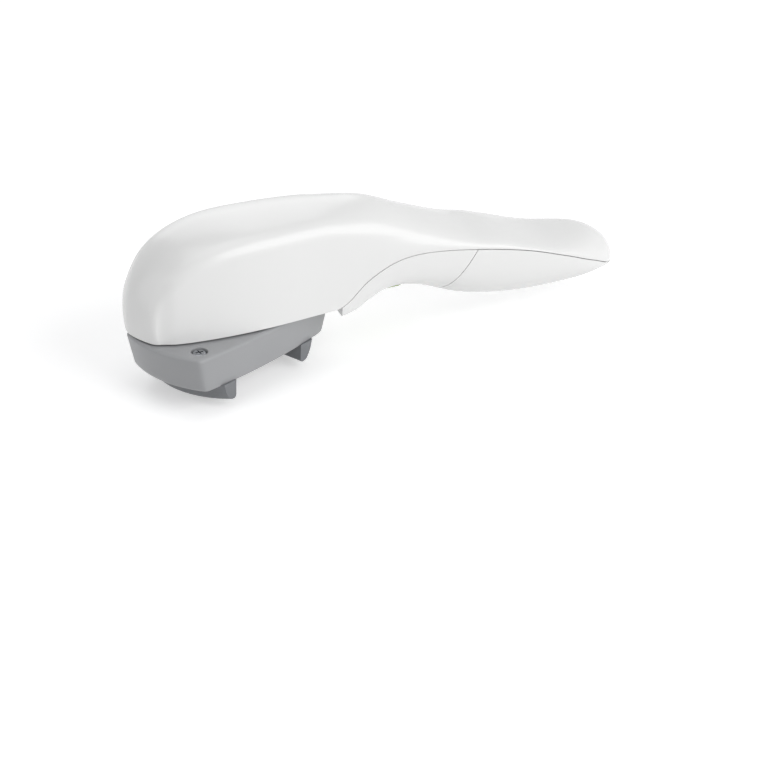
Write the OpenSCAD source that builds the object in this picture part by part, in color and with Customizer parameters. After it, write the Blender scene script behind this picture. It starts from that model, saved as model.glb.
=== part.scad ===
// Automatic bottle opener, hand held and battery driven.
// Origin: spin axis of the jaw carrier, at the top of the grip of its jaws.
// X runs from the nose to the tail, Z runs up, millimetres throughout.

/* [Head] */
// Distance from the spin axis to the tip of the nose
nose_reach = 42; // [41:0.2:44]
// Height of the crown of the head above the top of the grip
crown_z = 50.3; // [49.7:0.2:54.5]
// Width of the head at its widest
head_width = 36.8; // [36.4:0.2:40]
// Gap between the turning carrier and the rim of the head
head_gap = 0.6; // [0.4:0.1:1.2]
// Wall of the white mouldings
shell_wall = 1.9; // [1.6:0.1:2.2]
// How far the V of the nose stands ahead of its corners
nose_depth = 4.4; // [3.8:0.2:5.6]

/* [Handle] */
// Distance from the spin axis to the end of the tail
tail_reach = 160.2; // [158:0.2:168]
// Width of the grip at its widest
grip_width = 34.4; // [33.6:0.2:38]
// Height of the neck where the head ends
shoulder_z = 47.7; // [46.7:0.2:49.5]
// Height of the dip in front of the palm swell
dip_z = 31.7; // [30.5:0.2:33.1]
// Height of the palm swell
swell_z = 28.5; // [27.9:0.2:30.1]
// Height of the saddle behind the palm swell
saddle_z = 20.7; // [20.1:0.2:22.5]
// Height of the top of the tail
tail_z = 18.7; // [18.3:0.2:20.5]
// Lowest point of the lower handle shell under the front lip
lip_z = 8.9; // [8.3:0.2:10.3]
// Height of the finger hollow that holds the trigger
hollow_z = 14.9; // [14.1:0.2:15.5]
// Height of the belly under the cells
belly_z = 0.1; // [-0.9:0.2:0.5]
// Gap along the parting line of the mouldings
seam_gap = 0.3; // [0.2:0.05:0.5]

/* [Carrier] */
// Radius of the round ends of the jaw carrier, which is what it sweeps
sweep_radius = 39.4; // [39.2:0.1:39.8]
// Width of the jaw carrier at its middle
carrier_width = 39.8; // [39:0.2:41]
// Height of the jaw carrier
carrier_height = 13.5; // [13.3:0.1:14.5]
// Angle at which the carrier stands to the head at rest
carrier_turn = 22; // [0:1:30]
// Wall of the carrier
carrier_wall = 2; // [1.8:0.1:2.2]
// How far the ends lean in from top to bottom
end_taper = 3; // [2.4:0.1:3.1]
// Diameter of the hub that turns in the head
hub_d = 12; // [11:0.2:13]
// Distance of the carrier screws from the axis along the carrier
screw_x = 29.7; // [29.3:0.1:29.8]
// Distance of the carrier screws from the long centre line
screw_y = 12.2; // [12.1:0.1:12.5]

/* [Jaws] */
// Radius of the cap that the jaws hold at rest
grip_radius = 20.5; // [19.8:0.1:21]
// Drop of the jaws below the carrier
jaw_drop = 7; // [6.4:0.1:8.5]
// Width of each jaw
jaw_width = 37; // [34:0.2:38]
// Travel of a jaw inwards from rest
jaw_in = 8; // [6:0.5:8]
// Travel of a jaw outwards from rest
jaw_out = 2.5; // [1.5:0.5:2.5]
// Number of grip grooves in each jaw
groove_count = 2; // [1:1:3]

/* [Gear train] */
// Module of the reduction gears
gear_module = 0.5; // [0.5:0.01:0.52]
// Module of the jaw racks and their pinion
rack_module = 1; // [0.98:0.01:1.02]
// Diameter of the output shaft
output_shaft_d = 5; // [4.6:0.2:5.4]
// Diameter of the fixed gear shafts
gear_shaft_d = 2; // [1.8:0.1:2.2]
// Play taken off each flank of the reduction gears
flank_play = 0.06; // [0.05:0.01:0.08]

/* [Motor] */
// Diameter of the motor can
motor_d = 20.4; // [20:0.1:20.6]
// Height of the motor can across its flats
motor_flats = 15.4; // [15:0.1:15.8]
// Length of the motor can
motor_length = 21; // [19:0.5:22]
// Diameter of the motor shaft
motor_shaft_d = 2; // [1.8:0.1:2.2]

/* [Trigger] */
// Distance of the trigger from the spin axis
trigger_x = 62; // [61:0.2:63]
// Length of the trigger along the handle
trigger_length = 20; // [18:0.2:21]
// Width of the trigger across the handle
trigger_width = 13; // [12:0.2:13.4]
// How far the trigger stands out of the hollow
trigger_proud = 2.8; // [2.6:0.1:3.2]
// Travel of the trigger
trigger_travel = 2; // [1.6:0.1:2.2]
// Clearance round the trigger in its opening
trigger_play = 0.25; // [0.2:0.05:0.35]

/* [Battery bay] */
// Diameter of a cell
cell_d = 10.5; // [10.2:0.1:10.6]
// Length of a cell
cell_length = 44.5; // [44:0.1:44.8]
// Downward slope of the cells towards the tail, in degrees
cell_slope = 9.5; // [9:0.1:10]

/* [Fits] */
// Radial clearance of parts that run in each other
run_fit = 0.05; // [0.03:0.01:0.07]
// Clearance of parts that are set into each other
set_fit = 0.2; // [0.15:0.05:0.3]

/* [Hidden] */

// Resolution of the lofted mouldings and of round parts
rows_nose = 13;
rows_body = 25;
rows_tail = 7;
side_points = 3;
band_points = 5;
lower_points = 9;
round_fn = 96;
wide_fn = 256;

// Tooth counts, which set the ratios of the drive
pinion_teeth = 10;
wheel_teeth = 40;
jaw_pinion_teeth = 12;

// Colours of the finishes
white_abs = "#f3f3f1";
grey_abs = "#97999b";
dark_grey_abs = "#77787c";
green_abs = "#7d9a2c";
black_abs = "#2b2c2e";
acetal = "#e6e2d6";
steel = "#b9bcc0";
dark_steel = "#55575a";
brass = "#b8964f";
board_green = "#2f6b45";
cell_grey = "#8d9094";

// Levels and edges of the head
rim_z = carrier_height + head_gap;
crown_x = 3;
nose_bow = 2.6;
nose_round = 2.4;
crown_drop = 2.6;
crown_power = 2.2;
nose_power = 1.6;
side_lean = 0.9;
corner_reach = 2.5;
head_edge = 5;
nose_edge = 2;

// Screws and small clearances
screw_d = 1.8;
head_d = 4;
head_t = 1;
pilot_depth = 6.5;
column_d = 5;
press_gap = 0.01;
plate_t = 2.2;
base_z = rim_z + 0.3;
base_top = base_z + plate_t;

function lerp(a, b, t) = a + (b - a) * t;
function clamp(t, low = 0, high = 1) = min(high, max(low, t));
function ease(t) = let (c = clamp(t)) c * c * (3 - 2 * c);
function unit(v) = v / norm(v);
function reverse(v) = [for (i = [len(v) - 1:-1:0]) v[i]];

// Smooth curve through control points [x, value], flat beyond its ends
function slope(pts, i) =
    i <= 0 || i >= len(pts) - 1 ? 0
    : (pts[i + 1][1] - pts[i - 1][1]) / (pts[i + 1][0] - pts[i - 1][0]);
function span_of(pts, x, i = 0) =
    i >= len(pts) - 2 || x < pts[i + 1][0] ? i : span_of(pts, x, i + 1);
function curve(pts, x) =
    let (c = clamp(x, pts[0][0], pts[len(pts) - 1][0]),
         i = span_of(pts, c),
         h = pts[i + 1][0] - pts[i][0],
         t = (c - pts[i][0]) / h,
         s = t * t * (3 - 2 * t))
    lerp(pts[i][1], pts[i + 1][1], s)
        + h * slope(pts, i) * t * (1 - t) * (1 - t)
        - h * slope(pts, i + 1) * t * t * (1 - t);

// Half width in plan, rounded off at the tail
half_head = head_width / 2;
half_grip = grip_width / 2;
tail_round = 24;
tail_round_x = tail_reach - tail_round;
tail_power = 2.2;
width_pts = [
    [-35, half_head - 5.6], [-28, half_head - 3], [-18, half_head - 1.2], [-4, half_head - 0.1],
    [10, half_head - 0.2], [30, half_head - 1.5], [48, half_grip - 0.8], [72, half_grip - 0.4],
    [tail_reach - 60, half_grip], [tail_reach - 36, half_grip - 0.3],
    [tail_round_x, half_grip - 1.2], [tail_reach, half_grip - 2.6]];
function tail_factor(x, start, reach) =
    pow(max(0, 1 - pow(clamp((x - start) / (reach - start)), tail_power)), 1 / tail_power);
function half_width(x, inset = 0) =
    (curve(width_pts, x) - inset) * tail_factor(x, tail_round_x, tail_reach - inset);

// Top line seen from the side, from the crown to the tail
tail_top_x = tail_reach - 15;
saddle_x = tail_reach - 33;
dip_x = tail_reach - 68;
top_pts = [
    [crown_x, crown_z], [28, lerp(crown_z, shoulder_z, 0.17)], [53, shoulder_z],
    [72, lerp(shoulder_z, dip_z, 0.48)], [dip_x, dip_z], [tail_reach - 56, swell_z],
    [saddle_x, saddle_z], [tail_top_x, tail_z], [tail_reach, tail_z - 2]];

// Parting line of the mouldings seen from the side
lip_x = 33;
part_pts = [
    [lip_x, rim_z], [39, rim_z + 2], [47, rim_z + 8.6], [59, rim_z + 14], [71, rim_z + 15],
    [dip_x, rim_z + 12.2], [tail_reach - 46, rim_z + 7.2], [tail_reach - 28, rim_z + 1],
    [tail_top_x, rim_z - 4.2], [tail_reach, rim_z - 10]];
function part_z(x) = x < lip_x ? rim_z : curve(part_pts, x);

// Bottom line seen from the side
bottom_pts = [
    [38, lip_z], [44, lip_z + 0.6], [54, hollow_z - 0.8], [62, hollow_z], [70, hollow_z - 1.8],
    [tail_reach - 73, belly_z + 5.6], [tail_reach - 61, belly_z + 2.5],
    [tail_reach - 48, belly_z + 0.6], [tail_reach - 34, belly_z], [tail_reach - 20, belly_z + 0.6],
    [tail_top_x + 6, belly_z + 2], [tail_reach, belly_z + 3.2]];

// Closed thin shell between an outer and an inner grid of points, each a list
// of rows; a pole closes the last row of each grid in one point
function quad(a, b, c, d) = [[a, b, c], [a, c, d]];
function join(lists) = [for (l = lists) for (e = l) e];
function shell_faces(n, v, pole) =
    let (inner = n * v, po = 2 * n * v, pi = po + 1, e = (n - 1) * v)
    join([
        for (i = [0:n - 2]) for (j = [0:v - 2])
            let (a = i * v + j, b = a + v, c = b + 1, d = a + 1)
            concat(quad(a, b, c, d), quad(inner + d, inner + c, inner + b, inner + a)),
        for (i = [0:n - 2])
            let (a = i * v, b = a + v, f = a + v - 1, g = b + v - 1)
            concat(quad(b, a, inner + a, inner + b), quad(f, g, inner + g, inner + f)),
        for (j = [0:v - 2])
            quad(j, j + 1, inner + j + 1, inner + j),
        for (j = [0:v - 2])
            pole ? [[e + j, po, e + j + 1], [inner + e + j + 1, pi, inner + e + j]]
                : quad(e + j + 1, e + j, inner + e + j, inner + e + j + 1),
        pole ? concat(
            quad(po, e, inner + e, pi),
            quad(e + v - 1, po, pi, inner + e + v - 1)) : []]);
module thin_shell(outer, inner, poles = []) {
    polyhedron(
        points = concat(join(outer), join(inner), poles),
        faces = shell_faces(len(outer), len(outer[0]), len(poles) > 0));
}

// Ribs of the upper housing. A rib climbs the side from the rim to the soft
// edge and crosses the crowned band to the middle; its far half mirrors it
function nose_spine(u, inset) =
    let (c = pow(cos(90 * u), 2 / nose_round), s = pow(sin(90 * u), 2 / nose_round),
         long = crown_x + nose_reach - inset, tall = crown_z - rim_z - inset)
    [crown_x - long * c + nose_bow * pow(1 - s, 2), rim_z + tall * s];
function nose_normal(u) =
    let (e = 0.01, t = unit(nose_spine(min(1, u + e), 0) - nose_spine(max(0, u - e), 0)))
    u <= 0 ? [-1, 0] : u >= 1 ? [0, 1] : [-t[1], t[0]];
function side_y(p, inset) =
    half_width(p[0], inset) - side_lean * (p[1] - rim_z) / (crown_z - rim_z);
function half_rib(root, edge, spine, power, radius, inset) =
    let (side = edge - root,
         cut = min(0.85, radius / max(0.01, norm(side))),
         top_side = edge - side * cut,
         w = side_y(edge, inset),
         back = min(0.4, radius / w),
         over = edge + (spine - edge) * (1 - pow(1 - back, power)),
         start = [top_side[0], side_y(top_side, inset), top_side[1]],
         corner = [edge[0], w, edge[1]],
         end = [over[0], w * (1 - back), over[1]])
    concat(
        [for (i = [0:side_points - 1])
            let (p = lerp(root, top_side, i / side_points)) [p[0], side_y(p, inset), p[1]]],
        [for (t = [0, 1 / 3, 2 / 3, 1])
            start * (1 - t) * (1 - t) + corner * 2 * t * (1 - t) + end * t * t],
        [for (i = [1:band_points])
            let (b = lerp(back, 1, i / band_points),
                 p = edge + (spine - edge) * (1 - pow(1 - b, power)))
            [p[0], w * (1 - b), p[1]]]);
function arch_rib(x, top, power, inset) =
    let (n = side_points + 3 + band_points, w = half_width(x, inset), low = part_z(x))
    [for (i = [0:n])
        let (a = 90 * i / n)
        [x, w * pow(cos(a), 2 / power), low + (top - low) * pow(sin(a), 2 / power)]];
function mirrored(rib) =
    concat(rib, [for (i = [len(rib) - 2:-1:0]) [rib[i][0], -rib[i][1], rib[i][2]]]);
function nose_rib(u, inset) =
    let (spine = nose_spine(u, inset), normal = nose_normal(u),
         edge = spine - normal * lerp(nose_depth, crown_drop, u * u),
         first = nose_spine(0, inset)[0] + nose_depth + corner_reach,
         root = [lerp(first, crown_x, pow(u, 1.15)), rim_z])
    mirrored(half_rib(root, edge, spine, lerp(nose_power, crown_power, sin(90 * u)),
        lerp(nose_edge, head_edge, u), inset));
function top_z(x, inset) =
    let (low = part_z(x))
    low + (curve(top_pts, x) - inset - low) * tail_factor(x, tail_top_x, tail_reach - inset);
grip_start_x = 28;
grip_full_x = 78;
grip_power = 2.3;
function body_rib(x, inset) =
    let (top = top_z(x, inset), low = part_z(x),
         box = half_rib([x, low], [x, top - crown_drop], [x, top], crown_power, head_edge, inset),
         arch = arch_rib(x, top, grip_power, inset),
         t = ease((x - grip_start_x) / (grip_full_x - grip_start_x)))
    mirrored(t >= 1 ? arch : [for (i = [0:len(box) - 1]) lerp(box[i], arch[i], t)]);
function tail_x(i, inset) =
    lerp(tail_round_x, tail_reach - inset, sin(90 * i / (rows_tail + 1)));
function body_x(i) = lerp(crown_x, tail_round_x, i / rows_body);
function upper_rows(inset) = concat(
    [for (i = [0:rows_nose - 1]) nose_rib(i / rows_nose, inset)],
    [for (i = [0:rows_body - 1]) body_rib(body_x(i), inset)],
    [for (i = [0:rows_tail]) body_rib(tail_x(i, inset), inset)]);

// Ribs of the lower mouldings hang from the parting line. They lean with the
// seam of the battery cover, and the first ones follow the sweep of the jaws.
// Between the seams they stand at the same places as those of the upper housing
lip_clear = 0.8;
lip_radius = sweep_radius + lip_clear;
seam_x = dip_x;
seam_lean = 0.7;
lean_start = 56;
lean_fade = 46;
lip_blend = 14;
function lean_at(x) =
    seam_lean * ease((x - lean_start) / (seam_x - lean_start)) * (1 - ease((x - seam_x) / lean_fade));
function low_z(x, inset) =
    let (high = part_z(x) - seam_gap)
    high - (high - curve(bottom_pts, x) - inset) * tail_factor(x, tail_top_x, tail_reach - inset);
function foot_x(x, lean, high, inset, step = 4) =
    step == 0 ? x : x - lean * (high - low_z(foot_x(x, lean, high, inset, step - 1), inset));
function arc_x(y, inset) = sqrt(pow(lip_radius + inset, 2) - y * y);
function lower_rib(x, inset, lip = 0) =
    let (high = part_z(x) - seam_gap, lean = lean_at(x),
         low = low_z(foot_x(x, lean, high, inset), inset),
         w = half_width(x, inset), n = 2 * lower_points,
         power = lerp(3.6, 2.7, ease((x - 66) / 30)))
    [for (i = [0:n])
        let (a = 180 * i / n,
             y = -w * sign(cos(a)) * pow(abs(cos(a)), 2 / power),
             z = high - (high - low) * pow(sin(a), 2 / power))
        [x - lean * (high - z) + lip * (arc_x(y, inset) - arc_x(w, inset)), y, z]];
front_x = arc_x(half_width(arc_x(half_width(38), 0)), 0);
function lip_edge(inset) =
    let (w = 0.9 * half_width(front_x, inset), n = 2 * lower_points)
    [for (i = [0:n])
        let (y = w * (2 * i / n - 1))
        [arc_x(y, inset), y, part_z(front_x) - seam_gap]];
function front_rib(inset) =
    lower_rib(arc_x(half_width(front_x, inset), inset), inset, 1);
row_room = 2.2;
function rows_between(low, high) =
    [for (i = [0:rows_body - 1]) if (body_x(i) > low && body_x(i) < high) body_x(i)];
function lower_rows(inset) = concat(
    [lip_edge(inset), front_rib(inset)],
    [for (x = concat(rows_between(front_x + row_room, seam_x - row_room), [seam_x - seam_gap / 2]))
        lower_rib(x, inset, 1 - ease((x - front_x) / lip_blend))]);
function cover_rows(inset) = concat(
    [for (x = concat([seam_x + seam_gap / 2], rows_between(seam_x + row_room, tail_round_x - 1)))
        lower_rib(x, inset)],
    [for (i = [0:rows_tail]) lower_rib(tail_x(i, inset), inset)]);

// Slab with round ends, centred, standing on z = 0
module stadium(length, width, height) {
    for (s = [-1, 1])
        translate([s * (length - width) / 2, 0, 0])
            cylinder(d = width, h = height, $fn = round_fn);
    translate([-(length - width) / 2, -width / 2, 0])
        cube([length - width, width, height]);
}

// Screw with a cross recess, its shank upwards and its head below z = 0
module screw(d, length, cap_d, cap_t) {
    translate([0, 0, -0.4 * cap_t])
        cylinder(d = d, h = length + 0.4 * cap_t, $fn = round_fn);
    translate([0, 0, -cap_t])
        difference() {
            cylinder(d = cap_d, h = cap_t, $fn = round_fn);
            for (a = [0, 90])
                rotate([0, 0, a])
                    translate([-cap_d * 0.3, -cap_d * 0.06, -0.01])
                        cube([cap_d * 0.6, cap_d * 0.12, cap_t * 0.5]);
        }
}

// Columns inside the upper housing that take the screws
housing_columns = [[-24, 0], [33, 12], [33, -12]];
handle_column = [seam_x - 15.6, 0];
board_columns = [for (s = [1, -1]) [handle_column[0] - 5.8, s * 8]];
handle_joint_z = rim_z + 8;
tray_stops = [tail_reach - 58, tail_reach - 29];
board_z = rim_z + 15;
board_t = 1.2;
function nose_u(x) = acos(pow((crown_x - x) / (crown_x + nose_reach), nose_round / 2)) / 90;
function ceiling_z(p) =
    p[0] < crown_x ? nose_spine(nose_u(p[0] - 2), 0)[1] - shell_wall / 2
    : curve(top_pts, p[0]) - shell_wall / 2 - lerp(0.21, 0.13, ease(p[0] / 30 - 1.6)) * abs(p[1]);

// Battery bay: the cells lie side by side along a line that falls to the tail
bay_x = tail_reach - 69.8;
cell_mid_x = saddle_x;
cell_mid_z = lerp(belly_z, saddle_z, 0.5) - 0.1;
cell_gap = 0.6;
cell_y = (cell_d + cell_gap) / 2;
cell_room = 0.2;
spring_room = 3.6;
plate_room = 0.5;
bay_length = cell_length + spring_room + plate_room;
tray_wall = 1.2;
end_wall = 1.2;
tray_r = cell_d / 2 + cell_room;
web_top = tray_r + 0.5;
function cell_z(x) = cell_mid_z - (x - cell_mid_x) * tan(cell_slope);
module in_bay(x = bay_x) {
    translate([x, 0, cell_z(x)])
        rotate([0, cell_slope, 0])
            children();
}
module along_x(r, length) {
    rotate([0, 90, 0])
        cylinder(r = r, h = length, $fn = round_fn);
}

module upper_housing() {
    color(white_abs) difference() {
        union() {
            thin_shell(upper_rows(0), upper_rows(shell_wall),
                [[tail_reach, 0, part_z(tail_reach)],
                 [tail_reach - shell_wall, 0, part_z(tail_reach - shell_wall)]]);
            for (p = housing_columns)
                column(p, base_top);
            for (p = board_columns)
                column(p, board_z + board_t);
            column(handle_column, handle_joint_z);
            for (x = tray_stops)
                in_bay(x)
                    translate([0, 0, web_top + set_fit])
                        cylinder(d = 4, h = (ceiling_z([x, 0]) - cell_z(x)) * cos(cell_slope)
                            - web_top - set_fit, $fn = round_fn);
        }
        for (p = housing_columns)
            pilot(p, base_top);
        for (p = board_columns)
            pilot(p, board_z + board_t - 3);
        pilot(handle_column, handle_joint_z);
        translate([motor_x - 2, 0, motor_axis_z])
            along_x(motor_d / 2 + set_fit, motor_length);
    }
}
module column(p, low) {
    translate([p[0], p[1], low])
        cylinder(d = column_d, h = ceiling_z(p) - low, $fn = round_fn);
}
module pilot(p, low) {
    translate([p[0], p[1], low - 1])
        cylinder(d = screw_d, h = pilot_depth + 1, $fn = round_fn);
}

module lower_handle_shell() {
    seat = low_z(handle_column[0], shell_wall / 2);
    color(white_abs) difference() {
        union() {
            thin_shell(lower_rows(0), lower_rows(shell_wall));
            translate([handle_column[0], handle_column[1], seat])
                cylinder(d = column_d + 1, h = handle_joint_z - 0.05 - seat, $fn = round_fn);
        }
        translate([trigger_x, 0, 0])
            stadium(trigger_length + 2 * trigger_play, trigger_width + 2 * trigger_play,
                floor_z + 3);
        translate([handle_column[0], handle_column[1], 0]) {
            cylinder(d = head_d + 0.4, h = handle_joint_z - 3, $fn = round_fn);
            cylinder(d = screw_d + 0.2, h = handle_joint_z + 1, $fn = round_fn);
        }
    }
}
module battery_cover() {
    color(white_abs)
        thin_shell(cover_rows(0), cover_rows(shell_wall),
            [[tail_reach, 0, part_z(tail_reach) - seam_gap],
             [tail_reach - shell_wall, 0, part_z(tail_reach - shell_wall) - seam_gap]]);
}
module handle_screw() {
    color(steel) translate([handle_column[0], handle_column[1], handle_joint_z - 3])
        screw(screw_d - 2 * press_gap, 8, head_d, head_t);
}

// Base plate that closes the head, carries the hub and holds the gearbox
plate_clear = 0.4;
frame_posts = [[-9.5, 10.4], [-9.5, -10.4], [21.8, 10.4], [21.8, -10.4]];
frame_post_d = 4.4;
function plate_outline(inset) =
    let (nose = [for (p = nose_rib(0, inset)) [p[0], p[1]]],
         side = [for (i = [1:8])
             let (x = lerp(nose[0][0], lip_radius + 1, i / 8)) [x, half_width(x, inset)]])
    concat(nose, [for (p = side) [p[0], -p[1]]], reverse(side));
module head_base_plate() {
    color(white_abs) difference() {
        union() {
            intersection() {
                translate([0, 0, base_z])
                    linear_extrude(plate_t)
                        polygon(plate_outline(shell_wall + set_fit + 0.15));
                translate([0, 0, base_z - 1])
                    cylinder(r = lip_radius - plate_clear, h = plate_t + 2, $fn = wide_fn);
            }
            translate([axle_x, 0, base_top - 0.5])
                cylinder(d = idler_boss_d, h = train_z - base_top + 0.2, $fn = round_fn);
        }
        translate([0, 0, base_z - 1])
            cylinder(d = hub_d + 2 * run_fit, h = plate_t + 2, $fn = round_fn);
        translate([axle_x, 0, base_z + 0.8])
            cylinder(d = gear_shaft_d + 2 * press_gap, h = train_z, $fn = round_fn);
        for (p = concat(housing_columns, frame_posts))
            translate([p[0], p[1], base_z - 1]) {
                cylinder(d = screw_d + 0.2, h = plate_t + 2, $fn = round_fn);
                cylinder(d = head_d + 0.4, h = 1 + head_t + 0.1, $fn = round_fn);
            }
    }
}
module base_screws() {
    color(steel)
        for (p = concat(housing_columns, frame_posts))
            translate([p[0], p[1], base_z + head_t + 0.1])
                screw(screw_d - 2 * press_gap, 6, head_d, head_t);
}

// Involute spur gear outline, tooth on the X axis
pressure = 20;
addendum = 0.8;
dedendum = 1.2;
function inv(a) = tan(a) * 180 / PI - a;
function gear_outline(m, n, play) =
    let (rp = m * n / 2, rb = rp * cos(pressure), rt = rp + addendum * m,
         rr = rp - dedendum * m, low = max(rb, rr + 0.01),
         half = 90 / n + inv(pressure) - play / rp * 180 / PI,
         radii = [rr, low, lerp(low, rt, 0.33), lerp(low, rt, 0.66), rt],
         flank = [for (r = radii) [r, half - (r <= rb ? 0 : inv(acos(rb / r)))]])
    [for (k = [0:n - 1])
        let (a = 360 * k / n)
        each concat(
            [for (f = flank) f[0] * [cos(a - f[1]), sin(a - f[1])]],
            [for (f = reverse(flank)) f[0] * [cos(a + f[1]), sin(a + f[1])]])];
module gear(m, n, height, play = flank_play, turn = 0) {
    rotate([0, 0, turn])
        linear_extrude(height)
            polygon(gear_outline(m, n, play));
}

// Levels and centres of the reduction train, from the output wheel up
axle_x = gear_module * (pinion_teeth + wheel_teeth) / 2;
train_z = base_top + 2.9;
idler_boss_d = 4.4;
wheel_t = 1.8;
layer_gap = 0.4;
output_t = 3.2;
lower_wheel_z = train_z + output_t + layer_gap;
upper_wheel_z = lower_wheel_z + wheel_t + layer_gap;
crown_wheel_z = upper_wheel_z + wheel_t + layer_gap;
crown_plate_t = 1.2;
crown_tooth = 1.1;
crown_top = crown_wheel_z + crown_plate_t + crown_tooth;
motor_axis_z = crown_top + gear_module * (pinion_teeth / 2 - 0.75);
half_pitch = 180 / wheel_teeth;
free_bore = gear_shaft_d + 2 * run_fit;
frame_z = crown_top + 0.6;
frame_t = 1.6;

module output_gear() {
    color(acetal) translate([0, 0, train_z])
        difference() {
            gear(gear_module, wheel_teeth, output_t, turn = half_pitch);
            translate([0, 0, -1])
                cylinder(d = output_shaft_d + 2 * run_fit, h = output_t + 2, $fn = round_fn);
        }
}
// Wheel with a pinion below it, on its own axis
module compound(wheel_z, pinion_z, wheel_turn, pinion_turn) {
    difference() {
        union() {
            translate([0, 0, wheel_z])
                gear(gear_module, wheel_teeth, wheel_t, turn = wheel_turn);
            translate([0, 0, pinion_z])
                gear(gear_module, pinion_teeth, wheel_z - pinion_z + 0.01, turn = pinion_turn);
        }
        translate([0, 0, pinion_z - 1])
            cylinder(d = free_bore, h = wheel_z - pinion_z + wheel_t + 2, $fn = round_fn);
    }
}
module lower_reduction_gear() {
    color(acetal) translate([axle_x, 0, 0])
        compound(lower_wheel_z, train_z + 0.1, 0, 0);
}
module upper_reduction_gear() {
    color(acetal)
        compound(upper_wheel_z, lower_wheel_z + 0.1, half_pitch, 180 / pinion_teeth);
}

// Crown wheel: its teeth stand on the upper face under the motor pinion
crown_pitch_r = gear_module * wheel_teeth / 2;
crown_inner_r = crown_pitch_r - 0.5;
crown_outer_r = crown_pitch_r + 0.5;
module crown_gear() {
    tooth = PI * gear_module / 2 - 2 * flank_play;
    spread = crown_tooth * tan(pressure) / 2;
    color(acetal) translate([axle_x, 0, 0])
        difference() {
            union() {
                translate([0, 0, crown_wheel_z])
                    cylinder(r = crown_outer_r, h = crown_plate_t, $fn = round_fn);
                translate([0, 0, upper_wheel_z + 0.1])
                    gear(gear_module, pinion_teeth, crown_wheel_z - upper_wheel_z);
                for (k = [0:wheel_teeth - 1])
                    rotate([0, 0, (k + 0.5) * 360 / wheel_teeth])
                        translate([crown_outer_r - 0.02, 0, crown_wheel_z + crown_plate_t - 0.02])
                            rotate([90, 0, -90])
                                linear_extrude(crown_outer_r - crown_inner_r)
                                    polygon([
                                        [-tooth / 2 - spread, 0], [tooth / 2 + spread, 0],
                                        [tooth / 2 - spread, crown_tooth],
                                        [-tooth / 2 + spread, crown_tooth]]);
            }
            translate([0, 0, upper_wheel_z - 1])
                cylinder(d = free_bore, h = crown_top - upper_wheel_z + 2, $fn = round_fn);
        }
}
module idler_shaft() {
    color(steel) translate([axle_x, 0, base_z + 0.9])
        cylinder(d = gear_shaft_d, h = frame_z + frame_t - base_z - 1, $fn = round_fn);
}
module upper_axle() {
    color(steel) translate([0, 0, lower_wheel_z - 0.1])
        cylinder(d = gear_shaft_d, h = frame_z + frame_t - lower_wheel_z, $fn = round_fn);
}

// Frame over the train, with the bracket that holds the motor
motor_x = 27;
bracket_t = 1.8;
bracket_x = motor_x - bracket_t - 0.05;
motor_boss_d = 6;
motor_boss_h = 1.4;
motor_screw_y = 8;
module gearbox_frame() {
    half = frame_posts[0][1] + frame_post_d / 2;
    left = frame_posts[0][0] - frame_post_d / 2;
    arm = 10;
    color(black_abs) difference() {
        union() {
            translate([left, -half, frame_z])
                cube([axle_x + 5 - left, 2 * half, frame_t]);
            for (s = [-1, 1])
                translate([axle_x, s > 0 ? arm : -half, frame_z])
                    cube([bracket_x + bracket_t - axle_x, half - arm, frame_t]);
            for (p = frame_posts)
                translate([p[0], p[1], base_top])
                    cylinder(d = frame_post_d, h = frame_z - base_top + 0.5, $fn = round_fn);
            translate([bracket_x, -half, train_z])
                cube([bracket_t, 2 * half, motor_axis_z + 8 - train_z]);
        }
        for (x = [0, axle_x])
            translate([x, 0, frame_z - 1])
                cylinder(d = gear_shaft_d + 2 * press_gap, h = frame_t + 2, $fn = round_fn);
        for (p = frame_posts)
            translate([p[0], p[1], base_top - 1])
                cylinder(d = screw_d, h = pilot_depth + 1, $fn = round_fn);
        translate([bracket_x - 1, 0, motor_axis_z])
            along_x(motor_boss_d / 2 + run_fit, bracket_t + 2);
        for (s = [-1, 1])
            translate([bracket_x - 1, s * motor_screw_y, motor_axis_z])
                along_x(screw_d / 2 + 0.1, bracket_t + 2);
    }
}

// Motor along the neck, its pinion over the crown wheel
pinion_x = axle_x + crown_inner_r - 0.9;
pinion_l = 2.6;
end_cap_t = 4;
module motor_can() {
    color(steel) translate([motor_x, 0, motor_axis_z])
        rotate([0, 90, 0])
            difference() {
                union() {
                    intersection() {
                        cylinder(d = motor_d, h = motor_length, $fn = round_fn);
                        translate([-motor_flats / 2, -motor_d, 0])
                            cube([motor_flats, 2 * motor_d, motor_length]);
                    }
                    translate([0, 0, -motor_boss_h])
                        cylinder(d = motor_boss_d, h = motor_boss_h + 0.1, $fn = round_fn);
                }
                translate([0, 0, -motor_boss_h - 1])
                    cylinder(d = motor_shaft_d + 2 * run_fit, h = 8, $fn = round_fn);
                for (s = [-1, 1])
                    translate([0, s * motor_screw_y, -1])
                        cylinder(d = screw_d, h = 5, $fn = round_fn);
            }
}
module motor_end_cap() {
    color(black_abs) translate([motor_x + motor_length, 0, motor_axis_z])
        rotate([0, 90, 0]) {
            intersection() {
                cylinder(d = motor_d - 0.8, h = end_cap_t, $fn = round_fn);
                translate([-motor_flats / 2 + 0.4, -motor_d, 0])
                    cube([motor_flats - 0.8, 2 * motor_d, end_cap_t]);
            }
            for (s = [-1, 1])
                translate([-0.3, s * 6 - 1.2, end_cap_t - 0.1])
                    cube([0.6, 2.4, 2.6]);
        }
}
module motor_screws() {
    color(steel)
        for (s = [-1, 1])
            translate([bracket_x, s * motor_screw_y, motor_axis_z])
                rotate([0, 90, 0])
                    screw(screw_d - 2 * press_gap, motor_x - bracket_x + 3, 3.4, 0.9);
}
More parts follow.
